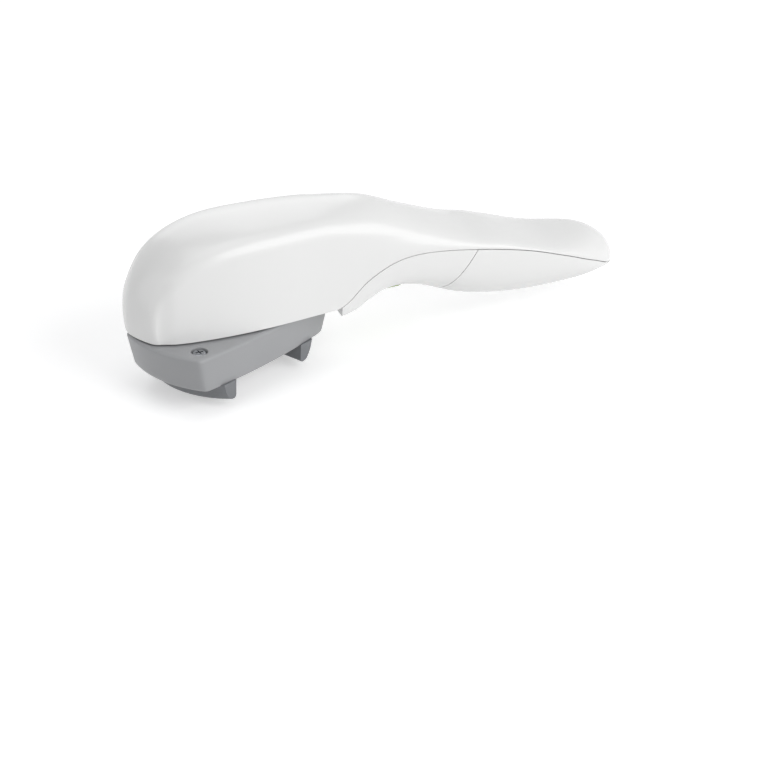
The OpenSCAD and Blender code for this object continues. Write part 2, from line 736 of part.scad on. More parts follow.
module motor_pinion() {
    color(brass) translate([pinion_x, 0, motor_axis_z])
        rotate([0, 90, 0]) {
            gear(gear_module, pinion_teeth, pinion_l);
            translate([0, 0, -0.4])
                cylinder(d = motor_shaft_d, h = motor_x + 4 - pinion_x, $fn = round_fn);
        }
}

// Carrier: all below turns with it and is drawn along its own X axis
module on_carrier() {
    rotate([0, 0, carrier_turn]) children();
}
side_chord = 70;
side_bow = 2.3;
side_taper = 0.4;
side_r = (side_chord * side_chord / 4 + side_bow * side_bow) / (2 * side_bow);
side_offset = side_r - carrier_width / 2;
foot_r = sweep_radius - end_taper;
module carrier_plan(inset) {
    intersection() {
        circle(r = foot_r - inset, $fn = wide_fn);
        translate([0, side_offset])
            circle(r = side_r - side_taper - inset, $fn = wide_fn);
        translate([0, -side_offset])
            circle(r = side_r - side_taper - inset, $fn = wide_fn);
    }
}

// Polygon with its corners rounded to the given radii
function round_corner(a, b, c, r, n) =
    let (u = unit(a - b), v = unit(c - b), angle = acos(u * v),
         centre = b + unit(u + v) * r / sin(angle / 2),
         s = b + u * r / tan(angle / 2) - centre, e = b + v * r / tan(angle / 2) - centre,
         from = atan2(s[1], s[0]), turn = (atan2(e[1], e[0]) - from + 540) % 360 - 180)
    [for (i = [0:n]) centre + r * [cos(from + turn * i / n), sin(from + turn * i / n)]];
function rounded(pts, radii, n = 5) =
    [for (i = [0:len(pts) - 1])
        each radii[i] == 0 ? [pts[i]]
            : round_corner(pts[(i + len(pts) - 1) % len(pts)], pts[i],
                pts[(i + 1) % len(pts)], radii[i], n)];

top_wall = 2.5;
rim_edge = 1.5;
foot_edge = 2.4;
side_edge = 1;
carrier_low = 0.3;
carrier_floor = carrier_low + 0.1;
cavity_top = carrier_height - top_wall;
recess_d = 6;
recess_t = 1.4;
hub_top = base_top + 1.9;
clip_z = base_top + 0.2;
clip_t = 0.8;
groove_d = hub_d - 1.6;
screw_places = [for (x = [-1, 1]) for (y = [-1, 1]) [x * screw_x, y * screw_y]];
module round_disc(low_r, high_r, foot) {
    rotate_extrude($fn = wide_fn)
        polygon(rounded(
            [[0, carrier_low], [low_r, carrier_low], [high_r, carrier_height],
             [0, carrier_height]],
            [0, foot, rim_edge, 0]));
}
function cone_r(low_r, high_r, z) =
    lerp(low_r, high_r, (z - carrier_low) / (carrier_height - carrier_low)) - carrier_wall;
module hollow_disc(low_r, high_r) {
    rotate_extrude($fn = wide_fn)
        polygon([[0, -1], [cone_r(low_r, high_r, -1), -1],
            [cone_r(low_r, high_r, cavity_top), cavity_top], [0, cavity_top]]);
}
module carrier_shell() {
    color(grey_abs) on_carrier()
        difference() {
            union() {
                intersection() {
                    round_disc(foot_r, sweep_radius, foot_edge);
                    translate([0, side_offset, 0])
                        round_disc(side_r - side_taper, side_r, side_edge);
                    translate([0, -side_offset, 0])
                        round_disc(side_r - side_taper, side_r, side_edge);
                }
                translate([0, 0, carrier_height - 1])
                    cylinder(d = hub_d, h = hub_top - carrier_height + 1, $fn = round_fn);
            }
            intersection() {
                hollow_disc(foot_r, sweep_radius);
                translate([0, side_offset, 0])
                    hollow_disc(side_r - side_taper, side_r);
                translate([0, -side_offset, 0])
                    hollow_disc(side_r - side_taper, side_r);
            }
            translate([0, 0, cavity_top - 1])
                cylinder(d = output_shaft_d + 2 * run_fit, h = hub_top, $fn = round_fn);
            translate([0, 0, clip_z - 0.05])
                difference() {
                    cylinder(d = hub_d + 2, h = clip_t + 0.1, $fn = round_fn);
                    translate([0, 0, -1])
                        cylinder(d = groove_d, h = clip_t + 3, $fn = round_fn);
                }
            for (p = screw_places)
                translate([p[0], p[1], 0]) {
                    translate([0, 0, carrier_height - recess_t])
                        cylinder(d = recess_d, h = recess_t + 1, $fn = round_fn);
                    cylinder(d = screw_d + 0.2, h = carrier_height, $fn = round_fn);
                }
        }
}

// Bottom plate with its posts, the slots for the jaws and the rack guides
post_d = 4;
journal_d = 3;
journal_z = 1;
slot_clear = 0.4;
guide_x = 18;
guide_t = 1.4;
neck_in = grip_radius + 0.1;
neck_out = neck_in + 4;
neck_low = -4.4;
neck_high = 9;
module carrier_bottom_plate() {
    color(grey_abs) on_carrier()
        difference() {
            union() {
                translate([0, 0, carrier_floor])
                    linear_extrude(plate_t)
                        carrier_plan(carrier_wall + set_fit);
                for (p = screw_places)
                    translate([p[0], p[1], carrier_floor + 1])
                        cylinder(d = post_d, h = cavity_top - carrier_floor - 1.05, $fn = round_fn);
                for (a = [0, 180])
                    rotate([0, 0, a]) {
                        translate([-guide_x, rack_back + 0.15, carrier_floor + 1])
                            cube([2 * guide_x, guide_t, rack_z + 2]);
                        translate([-guide_x, rack_back - 3, carrier_floor + 1])
                            cube([guide_x + neck_in - jaw_in - 1, 2.6, rack_z - carrier_floor - 1.1]);
                    }
            }
            for (a = [0, 180])
                rotate([0, 0, a])
                    translate([neck_in - jaw_in - slot_clear, neck_low - slot_clear, -1])
                        cube([neck_out - neck_in + jaw_in + jaw_out + 2 * slot_clear,
                            neck_high - neck_low + 2 * slot_clear, plate_t + 3]);
            translate([0, 0, journal_z])
                cylinder(d = journal_d + 2 * run_fit, h = plate_t + 2, $fn = round_fn);
            for (p = screw_places)
                translate([p[0], p[1], journal_z])
                    cylinder(d = screw_d, h = carrier_height, $fn = round_fn);
        }
}
module carrier_screws() {
    color(dark_steel) on_carrier()
        for (p = screw_places)
            translate([p[0], p[1], carrier_height - recess_t])
                mirror([0, 0, 1])
                    screw(screw_d - 2 * press_gap, 6, recess_d - 0.6, recess_t - 0.2);
}
module hub_retainer() {
    color(steel) on_carrier()
        difference() {
            translate([0, 0, clip_z])
                cylinder(d = hub_d + 5, h = clip_t, $fn = round_fn);
            translate([0, 0, clip_z - 1])
                cylinder(d = groove_d + 2 * run_fit, h = clip_t + 2, $fn = round_fn);
            translate([0, -groove_d * 0.4, clip_z - 1])
                cube([hub_d, groove_d * 0.8, clip_t + 2]);
        }
}
module hub_washer() {
    color(acetal) translate([0, 0, carrier_height + 0.15])
        difference() {
            cylinder(d = hub_d + 9, h = base_z - carrier_height - 0.3, $fn = round_fn);
            translate([0, 0, -1])
                cylinder(d = hub_d + 0.4, h = head_gap + 2, $fn = round_fn);
        }
}

// Jaws: a rack above the bottom plate, a neck through its slot, and a claw
// that is round in plan and grips with a round face between two flats
rack_z = 3.6;
rack_t = cavity_top - rack_z - 0.9;
rack_r = rack_module * jaw_pinion_teeth / 2;
rack_back = rack_r + 5;
rack_play = 0.1;
flat_in = grip_radius - 3;
claw_top = 0;
claw_out = grip_radius + 9.6;
claw_waist = claw_out - 0.8;
tip_out = claw_out - 2.4;
groove_d1 = 1;
groove_step = 18;
module jaw_pinion() {
    color(steel) on_carrier() {
        translate([0, 0, rack_z])
            gear(rack_module, jaw_pinion_teeth, rack_t, play = rack_play);
        translate([0, 0, journal_z + 0.1])
            cylinder(d = journal_d, h = rack_z - journal_z, $fn = round_fn);
        translate([0, 0, rack_z + rack_t - 0.1])
            cylinder(d = output_shaft_d, h = train_z + output_t - rack_z - rack_t, $fn = round_fn);
    }
}
rack_end = -(jaw_out + 4);
rack_joint = neck_in + 1;
function rack_tooth(x) =
    let (half = PI * rack_module / 4 - rack_play, up = addendum * rack_module,
         down = dedendum * rack_module, lean = tan(pressure))
    [[x - half - down * lean, rack_r + down], [x - half + up * lean, rack_r - up],
     [x + half - up * lean, rack_r - up], [x + half + down * lean, rack_r + down]];
module jaw() {
    difference() {
        union() {
            translate([0, 0, rack_z])
                linear_extrude(rack_t)
                    polygon(concat(
                        [[rack_end, rack_back], [rack_end, rack_r + dedendum * rack_module]],
                        [for (k = [-2:3])
                            each rack_tooth(PI * rack_module * (k + 0.5))],
                        [[rack_joint, rack_r + dedendum * rack_module], [rack_joint, rack_back]]));
            translate([neck_in, neck_low, claw_top - 0.3])
                cube([neck_out - neck_in, neck_high - neck_low, rack_z + rack_t - claw_top + 0.3]);
            intersection() {
                rotate_extrude($fn = wide_fn)
                    polygon(rounded(
                        [[0, claw_top], [0, -jaw_drop], [tip_out, -jaw_drop],
                         [claw_waist, -jaw_drop / 2], [claw_out, claw_top]],
                        [0, 0, 2.2, 5, 0]));
                translate([0, jaw_width / 2, 0])
                    rotate([90, 0, 0])
                        linear_extrude(jaw_width)
                            polygon(rounded(
                                [[flat_in, 1], [flat_in, -jaw_drop], [2 * claw_out, -jaw_drop],
                                 [2 * claw_out, 1]],
                                [0, 1.2, 0, 0]));
            }
        }
        translate([0, 0, -2 * jaw_drop])
            cylinder(r = grip_radius, h = 2 * jaw_drop, $fn = wide_fn);
        for (k = [0:groove_count - 1])
            rotate([0, 0, (k - (groove_count - 1) / 2) * groove_step])
                translate([grip_radius - 0.1, 0, -2 * jaw_drop])
                    cylinder(d = groove_d1, h = 2 * jaw_drop, $fn = round_fn);
    }
}
module jaw_rear() {
    color(dark_grey_abs) on_carrier() jaw();
}
module jaw_front() {
    color(dark_grey_abs) on_carrier() rotate([0, 0, 180]) jaw();
}

// Tube swept along a path, for the springs
function ring(c, t, r, n) =
    let (side = unit(cross(t, abs(t[2]) > 0.9 ? [1, 0, 0] : [0, 0, 1])), up = cross(side, t))
    [for (k = [0:n - 1]) c + r * (side * cos(360 * k / n) + up * sin(360 * k / n))];
module tube(path, r, n) {
    last = len(path) - 1;
    rings = [for (i = [0:last])
        ring(path[i], unit(path[min(last, i + 1)] - path[max(0, i - 1)]), r, n)];
    polyhedron(
        points = join(rings),
        faces = concat(
            [[for (k = [n - 1:-1:0]) k]],
            [for (i = [0:last - 1]) for (k = [0:n - 1])
                each quad(i * n + k, i * n + (k + 1) % n, (i + 1) * n + (k + 1) % n, (i + 1) * n + k)],
            [[for (k = [0:n - 1]) last * n + k]]));
}
coil_rings = 8;
function coil(r0, r1, height, turns) =
    [for (i = [0:turns * coil_rings])
        let (t = i / (turns * coil_rings), a = 360 * i / coil_rings, r = lerp(r0, r1, t))
        [r * cos(a), r * sin(a), height * t]];

// Trigger, its spring and the switch that it works
floor_z = hollow_z + shell_wall;
flange_z = floor_z + 0.6;
flange_t = 1.2;
button_top = flange_z + flange_t;
switch_x = trigger_x + 3.2;
spring_x = trigger_x - 5;
spring_r = 2.3;
spring_wire = 0.3;
spring_turns = 6;
spring_height = board_z - button_top - 2 * spring_wire - 0.1;
plunger_d = 2;
plunger_gap = 0.1;
pad_z = button_top + 2;
switch_h = 6.1;
switch_z = board_z - switch_h;
crown_r = 26;
echo(trigger_spring_gap = spring_height / spring_turns - 2 * spring_wire);
module trigger_button() {
    low = hollow_z - trigger_proud;
    color(green_abs) translate([trigger_x, 0, 0]) {
        intersection() {
            translate([0, 0, low])
                stadium(trigger_length, trigger_width, flange_z - low + 0.1);
            translate([0, trigger_width, low + crown_r])
                rotate([90, 0, 0])
                    cylinder(r = crown_r, h = 2 * trigger_width, $fn = wide_fn);
        }
        translate([0, 0, flange_z])
            stadium(trigger_length + 2.4, trigger_width + 2, flange_t);
        translate([switch_x - trigger_x, 0, button_top - 0.1])
            cylinder(d = 4, h = pad_z - button_top + 0.1, $fn = round_fn);
        translate([spring_x - trigger_x, 0, button_top - 0.1])
            cylinder(r = spring_r - spring_wire - 0.3, h = 2, $fn = round_fn);
    }
}
module trigger_spring() {
    color(steel) translate([spring_x, 0, button_top + spring_wire + 0.05])
        tube(coil(spring_r, spring_r, spring_height, spring_turns), spring_wire, 6);
}
module microswitch_body() {
    color(black_abs) difference() {
        translate([switch_x - 4.2, -2.9, switch_z])
            cube([12.6, 5.8, switch_h - 0.02]);
        translate([switch_x, 0, switch_z - 1])
            cylinder(d = plunger_d + 2 * run_fit, h = 3.3 + trigger_travel, $fn = round_fn);
    }
}
module switch_plunger() {
    color(acetal) translate([switch_x, 0, pad_z + plunger_gap])
        cylinder(d = plunger_d, h = switch_z + 2 - pad_z - plunger_gap, $fn = round_fn);
}
board_x = motor_x + motor_length + end_cap_t + 0.8;
board_end = handle_column[0] - column_d / 2 - 0.4;
board_w = 21;
module control_board() {
    color(board_green) difference() {
        translate([board_x, -board_w / 2, board_z])
            cube([board_end - board_x, board_w, board_t]);
        for (p = board_columns)
            translate([p[0], p[1], board_z - 1])
                cylinder(d = screw_d + 0.2, h = board_t + 2, $fn = round_fn);
    }
}
module board_screws() {
    color(steel)
        for (p = board_columns)
            translate([p[0], p[1], board_z])
                screw(screw_d - 2 * press_gap, 4, 3.4, 0.9);
}

module battery_tray() {
    color(white_abs) in_bay()
        difference() {
            union() {
                for (s = [-1, 1])
                    translate([-end_wall, s * cell_y, 0])
                        along_x(tray_r + tray_wall, bay_length + 2 * end_wall);
                translate([-end_wall, -cell_y, 0])
                    cube([bay_length + 2 * end_wall, 2 * cell_y, web_top]);
            }
            for (s = [-1, 1])
                translate([0, s * cell_y, 0])
                    along_x(tray_r, bay_length);
            translate([-10, -30, -40.3])
                cube([bay_length + 20, 60, 40]);
        }
}
module cell() {
    nub_l = 1;
    along_x(cell_d / 2, cell_length - nub_l);
    along_x(cell_d * 0.18, cell_length);
}
module battery_cell_left() {
    color(cell_grey) in_bay()
        translate([spring_room, cell_y, 0])
            cell();
}
module battery_cell_right() {
    color(cell_grey) in_bay()
        translate([plate_room + cell_length, -cell_y, 0])
            mirror([1, 0, 0])
                cell();
}
contact_t = 0.4;
module contact_plates() {
    color(brass) in_bay() {
        translate([bay_length - contact_t - 0.05, cell_y - 3.5, -0.3])
            cube([contact_t, 7, 4.2]);
        translate([0.05, -cell_y - 3.5, -0.3])
            cube([contact_t, 7, 4.2]);
    }
}
contact_wire = 0.25;
module contact_springs() {
    height = spring_room - 2 * contact_wire - 0.1;
    color(steel) in_bay() {
        translate([contact_wire + 0.05, cell_y, 0])
            rotate([0, 90, 0])
                tube(coil(3.4, 2, height, 3), contact_wire, 6);
        translate([bay_length - contact_wire - 0.05, -cell_y, 0])
            rotate([0, -90, 0])
                tube(coil(3.4, 2, height, 3), contact_wire, 6);
    }
}

upper_housing();
lower_handle_shell();
battery_cover();
head_base_plate();
base_screws();
handle_screw();
trigger_button();
trigger_spring();
microswitch_body();
switch_plunger();
control_board();
board_screws();
battery_tray();
battery_cell_left();
battery_cell_right();
contact_plates();
contact_springs();
motor_can();
motor_end_cap();
motor_screws();
motor_pinion();
crown_gear();
upper_reduction_gear();
lower_reduction_gear();
output_gear();
idler_shaft();
upper_axle();
gearbox_frame();
hub_washer();
hub_retainer();
carrier_shell();
carrier_bottom_plate();
carrier_screws();
jaw_pinion();
jaw_front();
jaw_rear();
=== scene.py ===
"""Looks of a hand held automatic bottle opener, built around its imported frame.

The white mouldings are drawn again on fine grids by the rules that shape the
solids, so that the gloss runs over them without facets. Screws and springs
come from node trees, and every solid that stays gets a finish.
"""
import logging
import math
from dataclasses import dataclass, field
from enum import Enum
from typing import Any, Iterable, Sequence

import bmesh
import bpy
from mathutils import Matrix, Vector


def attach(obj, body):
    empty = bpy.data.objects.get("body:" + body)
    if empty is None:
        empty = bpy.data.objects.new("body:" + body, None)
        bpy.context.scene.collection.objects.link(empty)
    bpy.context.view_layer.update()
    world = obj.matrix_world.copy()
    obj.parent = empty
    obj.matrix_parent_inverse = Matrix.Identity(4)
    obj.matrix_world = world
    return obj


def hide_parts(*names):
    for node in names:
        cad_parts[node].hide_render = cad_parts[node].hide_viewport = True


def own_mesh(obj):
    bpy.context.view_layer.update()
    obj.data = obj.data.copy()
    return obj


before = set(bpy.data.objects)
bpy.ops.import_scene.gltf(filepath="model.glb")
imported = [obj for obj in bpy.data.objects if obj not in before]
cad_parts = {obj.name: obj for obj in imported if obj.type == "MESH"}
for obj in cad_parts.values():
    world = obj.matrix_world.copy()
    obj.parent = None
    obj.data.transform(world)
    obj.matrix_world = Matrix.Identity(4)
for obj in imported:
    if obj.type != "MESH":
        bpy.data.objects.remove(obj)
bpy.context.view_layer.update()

LOG = logging.getLogger("bottle_opener")
MM = 0.001

Tree = bpy.types.NodeTree
Socket = bpy.types.NodeSocket
Thing = bpy.types.Object
Mesh = bpy.types.Mesh
Flat = tuple[float, float]
Point = tuple[float, float, float]
Colour = tuple[float, float, float, float]
Row = list[Point]
Faces = list[list[int]]
Shape = tuple[list[Any], Faces]


def clamp(value: float, low: float = 0.0, high: float = 1.0) -> float:
    """Value held between low and high."""
    return min(high, max(low, value))


def ease(value: float) -> float:
    """Smooth step from 0 to 1."""
    held = clamp(value)
    return held * held * (3 - 2 * held)


def lerp(a: float, b: float, t: float) -> float:
    """Value between a and b at the share t."""
    return a + (b - a) * t


def mix_points(a: Sequence[float], b: Sequence[float], t: float) -> Point:
    """Point between a and b at the share t."""
    return tuple(lerp(p, q, t) for p, q in zip(a, b))


def linear(hex_colour: str) -> Colour:
    """Turn an sRGB hex colour into linear light.

    Args:
        hex_colour: Six digits, with or without the leading sign.

    Returns:
        Red, green, blue and an alpha of one.
    """
    digits = hex_colour.lstrip("#")
    parts = [int(digits[i:i + 2], 16) / 255 for i in (0, 2, 4)]
    light = [c / 12.92 if c <= 0.04045 else ((c + 0.055) / 1.055) ** 2.4 for c in parts]
    return (*light, 1.0)


def add_node(tree: Tree, kind: str, settings: dict[str, Any] | None = None,
             inputs: dict[Any, Any] | None = None) -> bpy.types.Node:
    """Add one node with its settings, values and links.

    Args:
        tree: Tree that takes the node.
        kind: Type name of the node.
        settings: Properties of the node by name.
        inputs: Values, or sockets to link from, by the input's name or number.

    Returns:
        The new node.
    """
    node = tree.nodes.new(kind)
    for name, value in (settings or {}).items():
        setattr(node, name, value)
    for key, value in (inputs or {}).items():
        if isinstance(value, Socket):
            tree.links.new(value, node.inputs[key])
        else:
            node.inputs[key].default_value = value
    return node


@dataclass(frozen=True)
class Finish:
    """One finish: its tones, its gloss and the relief that its making leaves."""

    name: str
    tone: str
    second_tone: str
    roughness: float
    roughness_spread: float = 0.05
    metallic: float = 0.0
    ior: float = 1.5
    coat: float = 0.0
    coat_roughness: float = 0.1
    patch_mm: float = 18.0
    grain_mm: float = 0.6
    grain_height_mm: float = 0.004
    wave_mm: float = 9.0
    wave_height_mm: float = 0.0
    anisotropy: float = 0.0

    def noise(self, tree: Tree, place: Socket, size_mm: float,
              detail: float = 2.0) -> Socket:
        """Noise whose blobs are about the given size.

        Args:
            tree: Tree of the material.
            place: Coordinates that the noise reads.
            size_mm: Size of a blob in millimetres.
            detail: Octaves of finer noise.

        Returns:
            The noise value, from 0 to 1.
        """
        scale = 1 / (size_mm * MM)
        node = add_node(tree, "ShaderNodeTexNoise", {}, {
            "Vector": place, "Scale": scale, "Detail": detail, "Roughness": 0.5})
        return node.outputs["Fac"]

    def colour(self, tree: Tree, place: Socket) -> Socket:
        """Base colour: two near tones in soft patches.

        Args:
            tree: Tree of the material.
            place: Coordinates that the pattern reads.

        Returns:
            The colour.
        """
        patches = self.noise(tree, place, self.patch_mm)
        ramp = add_node(tree, "ShaderNodeMix", {"data_type": "RGBA"}, {0: patches})
        ramp.inputs["A"].default_value = linear(self.tone)
        ramp.inputs["B"].default_value = linear(self.second_tone)
        return ramp.outputs["Result"]

    def relief(self, tree: Tree, place: Socket) -> Socket:
        """Normal of the fine grain over a slow waviness.

        Args:
            tree: Tree of the material.
            place: Coordinates that the pattern reads.

        Returns:
            The normal.
        """
        grain = add_node(tree, "ShaderNodeBump", {}, {
            "Height": self.noise(tree, place, self.grain_mm, 3.0),
            "Distance": self.grain_height_mm * MM, "Strength": 1.0})
        if not self.wave_height_mm:
            return grain.outputs["Normal"]
        wave = add_node(tree, "ShaderNodeBump", {}, {
            "Height": self.noise(tree, place, self.wave_mm, 0.0),
            "Distance": self.wave_height_mm * MM, "Strength": 1.0,
            "Normal": grain.outputs["Normal"]})
        return wave.outputs["Normal"]

    def build(self) -> bpy.types.Material:
        """Make the material, or return it if it is there already.

        Returns:
            The material.
        """
        made = bpy.data.materials.get(self.name)
        if made:
            return made
        made = bpy.data.materials.new(self.name)
        made.use_nodes = True
        tree = made.node_tree
        tree.nodes.clear()
        place = add_node(tree, "ShaderNodeTexCoord").outputs["Object"]
        rough = add_node(tree, "ShaderNodeMapRange", {}, {
            "Value": self.noise(tree, place, self.patch_mm * 0.4),
            "To Min": self.roughness - self.roughness_spread,
            "To Max": self.roughness + self.roughness_spread})
        shader = add_node(tree, "ShaderNodeBsdfPrincipled", {}, {
            "Base Color": self.colour(tree, place), "Roughness": rough.outputs["Result"],
            "Metallic": self.metallic, "IOR": self.ior, "Coat Weight": self.coat,
            "Coat Roughness": self.coat_roughness, "Anisotropic": self.anisotropy,
            "Normal": self.relief(tree, place)})
        add_node(tree, "ShaderNodeOutputMaterial", {}, {"Surface": shader.outputs["BSDF"]})
        return made


@dataclass(frozen=True)
class BoardFinish(Finish):
    """Solder mask over copper tracks, which show as lighter straight lines."""

    track_mm: float = 2.2

    def colour(self, tree: Tree, place: Socket) -> Socket:
        """Base colour with rows of tracks.

        Args:
            tree: Tree of the material.
            place: Coordinates that the pattern reads.

        Returns:
            The colour.
        """
        tracks = add_node(tree, "ShaderNodeTexBrick", {"offset": 0.5}, {
            "Vector": place, "Scale": 1 / (self.track_mm * MM), "Mortar Size": 0.06,
            "Color1": linear(self.tone), "Color2": linear(self.tone),
            "Mortar": linear(self.second_tone)})
        return tracks.outputs["Color"]


@dataclass(frozen=True)
class JacketFinish(Finish):
    """Printed sleeve of a cell: two plain bands that meet at a place on X."""

    band_x: float = 0.11

    def colour(self, tree: Tree, place: Socket) -> Socket:
        """Base colour that changes at the band.

        Args:
            tree: Tree of the material.
            place: Coordinates that the pattern reads.

        Returns:
            The colour.
        """
        parts = add_node(tree, "ShaderNodeSeparateXYZ", {}, {"Vector": place})
        step = add_node(tree, "ShaderNodeMapRange", {"interpolation_type": "SMOOTHSTEP"}, {
            "Value": parts.outputs["X"], "From Min": self.band_x - 0.0002,
            "From Max": self.band_x + 0.0002})
        blend = add_node(tree, "ShaderNodeMix", {"data_type": "RGBA"}, {0: step.outputs["Result"]})
        blend.inputs["A"].default_value = linear(self.tone)
        blend.inputs["B"].default_value = linear(self.second_tone)
        return blend.outputs["Result"]


# Glossy ABS from a polished mould: a clean highlight with a trace of waviness
WHITE_ABS = Finish("moulded_white_abs", "#F3F3F2", "#EFEFEE", 0.26, 0.03, ior=1.5, coat=0.12,
                   coat_roughness=0.12, patch_mm=40, grain_mm=1.2, grain_height_mm=0.001,
                   wave_mm=16, wave_height_mm=0.015)
# ABS from a spark eroded mould: an even satin with a fine grain
GREY_ABS = Finish("moulded_grey_abs", "#A3A4A6", "#9E9FA1", 0.37, 0.04, ior=1.53, patch_mm=22,
                  grain_mm=0.5, grain_height_mm=0.012)
# The same satin in the darker grey of the jaws, a little smoother from handling
JAW_ABS = Finish("moulded_dark_grey_abs", "#7A7C80", "#747679", 0.36, 0.05, ior=1.53,
                 patch_mm=14, grain_mm=0.5, grain_height_mm=0.01)
# Tinted ABS, polished where the finger presses: a clear green with a soft shine
GREEN_ABS = Finish("moulded_green_abs", "#7E9B2E", "#76922A", 0.26, 0.04, ior=1.53, coat=0.15,
                   patch_mm=12, grain_mm=0.8, grain_height_mm=0.002)
# Glass filled nylon: matt black with the grain of its fibres
BLACK_NYLON = Finish("glass_filled_nylon", "#2A2B2D", "#323335", 0.55, 0.08, ior=1.53,
                     patch_mm=5, grain_mm=0.35, grain_height_mm=0.01)
# Natural acetal: waxy and slightly warm
ACETAL = Finish("natural_acetal", "#E8E4D8", "#DFDACC", 0.34, 0.04, ior=1.48, patch_mm=6,
                grain_mm=0.5, grain_height_mm=0.003)
# Turned steel: bright, with highlights drawn out across the marks of the lathe
STEEL = Finish("turned_steel", "#C3C6CA", "#B4B7BB", 0.28, 0.06, metallic=1.0, patch_mm=3,
               grain_mm=0.25, grain_height_mm=0.003, anisotropy=0.3)
# Plated steel of the screws that show: a dull grey with a small glint in each well
SCREW_STEEL = Finish("dull_plated_steel", "#9EA0A4", "#7B7D81", 0.24, 0.06, metallic=1.0,
                     patch_mm=2, grain_mm=0.2, grain_height_mm=0.004)
# Nickel plated spring wire: a bright glint along each turn
SPRING_STEEL = Finish("plated_spring_wire", "#CDCFD2", "#BFC1C5", 0.22, 0.05, metallic=1.0,
                      patch_mm=2, grain_mm=0.2, grain_height_mm=0.002)
# Drawn brass: warm yellow, slightly dull
BRASS = Finish("drawn_brass", "#C9A257", "#BC954C", 0.3, 0.06, metallic=1.0, patch_mm=4,
               grain_mm=0.25, grain_height_mm=0.003)
# Green solder mask on a circuit board: smooth, with lighter copper tracks under it
BOARD = BoardFinish("solder_mask", "#2B6A44", "#3F8659", 0.3, 0.05, ior=1.55, patch_mm=8,
                    grain_mm=0.4, grain_height_mm=0.003)
# Shrink sleeve of the cell whose tip is at the tail: grey, with a dark band at the tip
LEFT_SLEEVE = JacketFinish("left_cell_sleeve", "#A4A7AB", "#3B3D40", 0.3, 0.05, metallic=0.4,
                           patch_mm=10, grain_mm=0.5, grain_height_mm=0.002, band_x=0.124)
# The same sleeve on the cell that lies the other way round
RIGHT_SLEEVE = JacketFinish("right_cell_sleeve", "#3B3D40", "#A4A7AB", 0.3, 0.05, metallic=0.4,
                            patch_mm=10, grain_mm=0.5, grain_height_mm=0.002, band_x=0.104)


@dataclass(frozen=True)
class Line:
    """Smooth line through control points, flat beyond its ends."""

    points: tuple[Flat, ...]

    def slope(self, i: int) -> float:
        """Slope at control point i.

        Args:
            i: Number of the control point.

        Returns:
            The slope.
        """
        if i <= 0 or i >= len(self.points) - 1:
            return 0.0
        (x0, y0), (x1, y1) = self.points[i - 1], self.points[i + 1]
        return (y1 - y0) / (x1 - x0)

    def at(self, x: float) -> float:
        """Value at x.

        Args:
            x: Where the line is read.

        Returns:
            The value there.
        """
        held = clamp(x, self.points[0][0], self.points[-1][0])
        i = 0
        while i < len(self.points) - 2 and held >= self.points[i + 1][0]:
            i += 1
        (x0, y0), (x1, y1) = self.points[i], self.points[i + 1]
        h = x1 - x0
        t = (held - x0) / h
        return (lerp(y0, y1, t * t * (3 - 2 * t)) + h * self.slope(i) * t * (1 - t) ** 2
                - h * self.slope(i + 1) * t * t * (1 - t))


class Side(Enum):
    """Side of the tail where a cell lies, as the sign of its Y."""

    LEFT = 1
    RIGHT = -1


def new_object(name: str, mesh: Mesh, finish: Finish) -> Thing:
    """Link a mesh as an object at the origin, with its finish.

    Args:
        name: Name of the piece.
        mesh: Mesh with its place in its vertices.
        finish: Finish of all its faces.

    Returns:
        The new object.
    """
    mesh.materials.clear()
    mesh.materials.append(finish.build())
    made = bpy.data.objects.new(name, mesh)
    bpy.context.scene.collection.objects.link(made)
    return made


def settle(piece: Thing, body: str, node: str = "") -> None:
    """Hang a piece on the body that carries it, and hide the solid that it stands for.

    Args:
        piece: Finished piece.
        body: Body that carries it.
        node: Solid that it replaces, or nothing.
    """
    if node:
        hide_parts(node)
    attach(piece, body)
    LOG.info("%s: %d faces", piece.name, len(piece.data.polygons))


def baked(thing: Thing) -> Thing:
    """Apply all modifiers of an object to its mesh.

    Args:
        thing: Object whose modifiers become its mesh.

    Returns:
        The same object, with a plain mesh.
    """
    graph = bpy.context.evaluated_depsgraph_get()
    graph.update()
    mesh = bpy.data.meshes.new_from_object(thing.evaluated_get(graph), depsgraph=graph)
    thing.modifiers.clear()
    old = thing.data
    thing.data = mesh
    bpy.data.meshes.remove(old)
    return thing


def scaled_mesh(name: str, points: Iterable[Sequence[float]],
                faces: Iterable[Sequence[int]]) -> Mesh:
    """Mesh from points in millimetres, smooth shaded.

    Args:
        name: Name of the mesh.
        points: Points in millimetres.
        faces: Faces as lists of point numbers.

    Returns:
        The mesh in metres.
    """
    mesh = bpy.data.meshes.new(name)
    mesh.from_pydata([[c * MM for c in p] for p in points], [], list(faces))
    mesh.validate()
    mesh.shade_smooth()
    return mesh


def cut_out(piece: Thing, shape: Shape) -> None:
    """Take a shape out of a piece with an exact boolean.

    Args:
        piece: Piece that is cut.
        shape: Points in millimetres and faces of what goes.
    """
    cutter = bpy.data.objects.new("cutter", scaled_mesh("cutter", *shape))
    bpy.context.scene.collection.objects.link(cutter)
    cut = piece.modifiers.new("cut", "BOOLEAN")
    cut.operation, cut.solver, cut.object = "DIFFERENCE", "EXACT", cutter
    baked(piece)
    bpy.data.objects.remove(cutter)


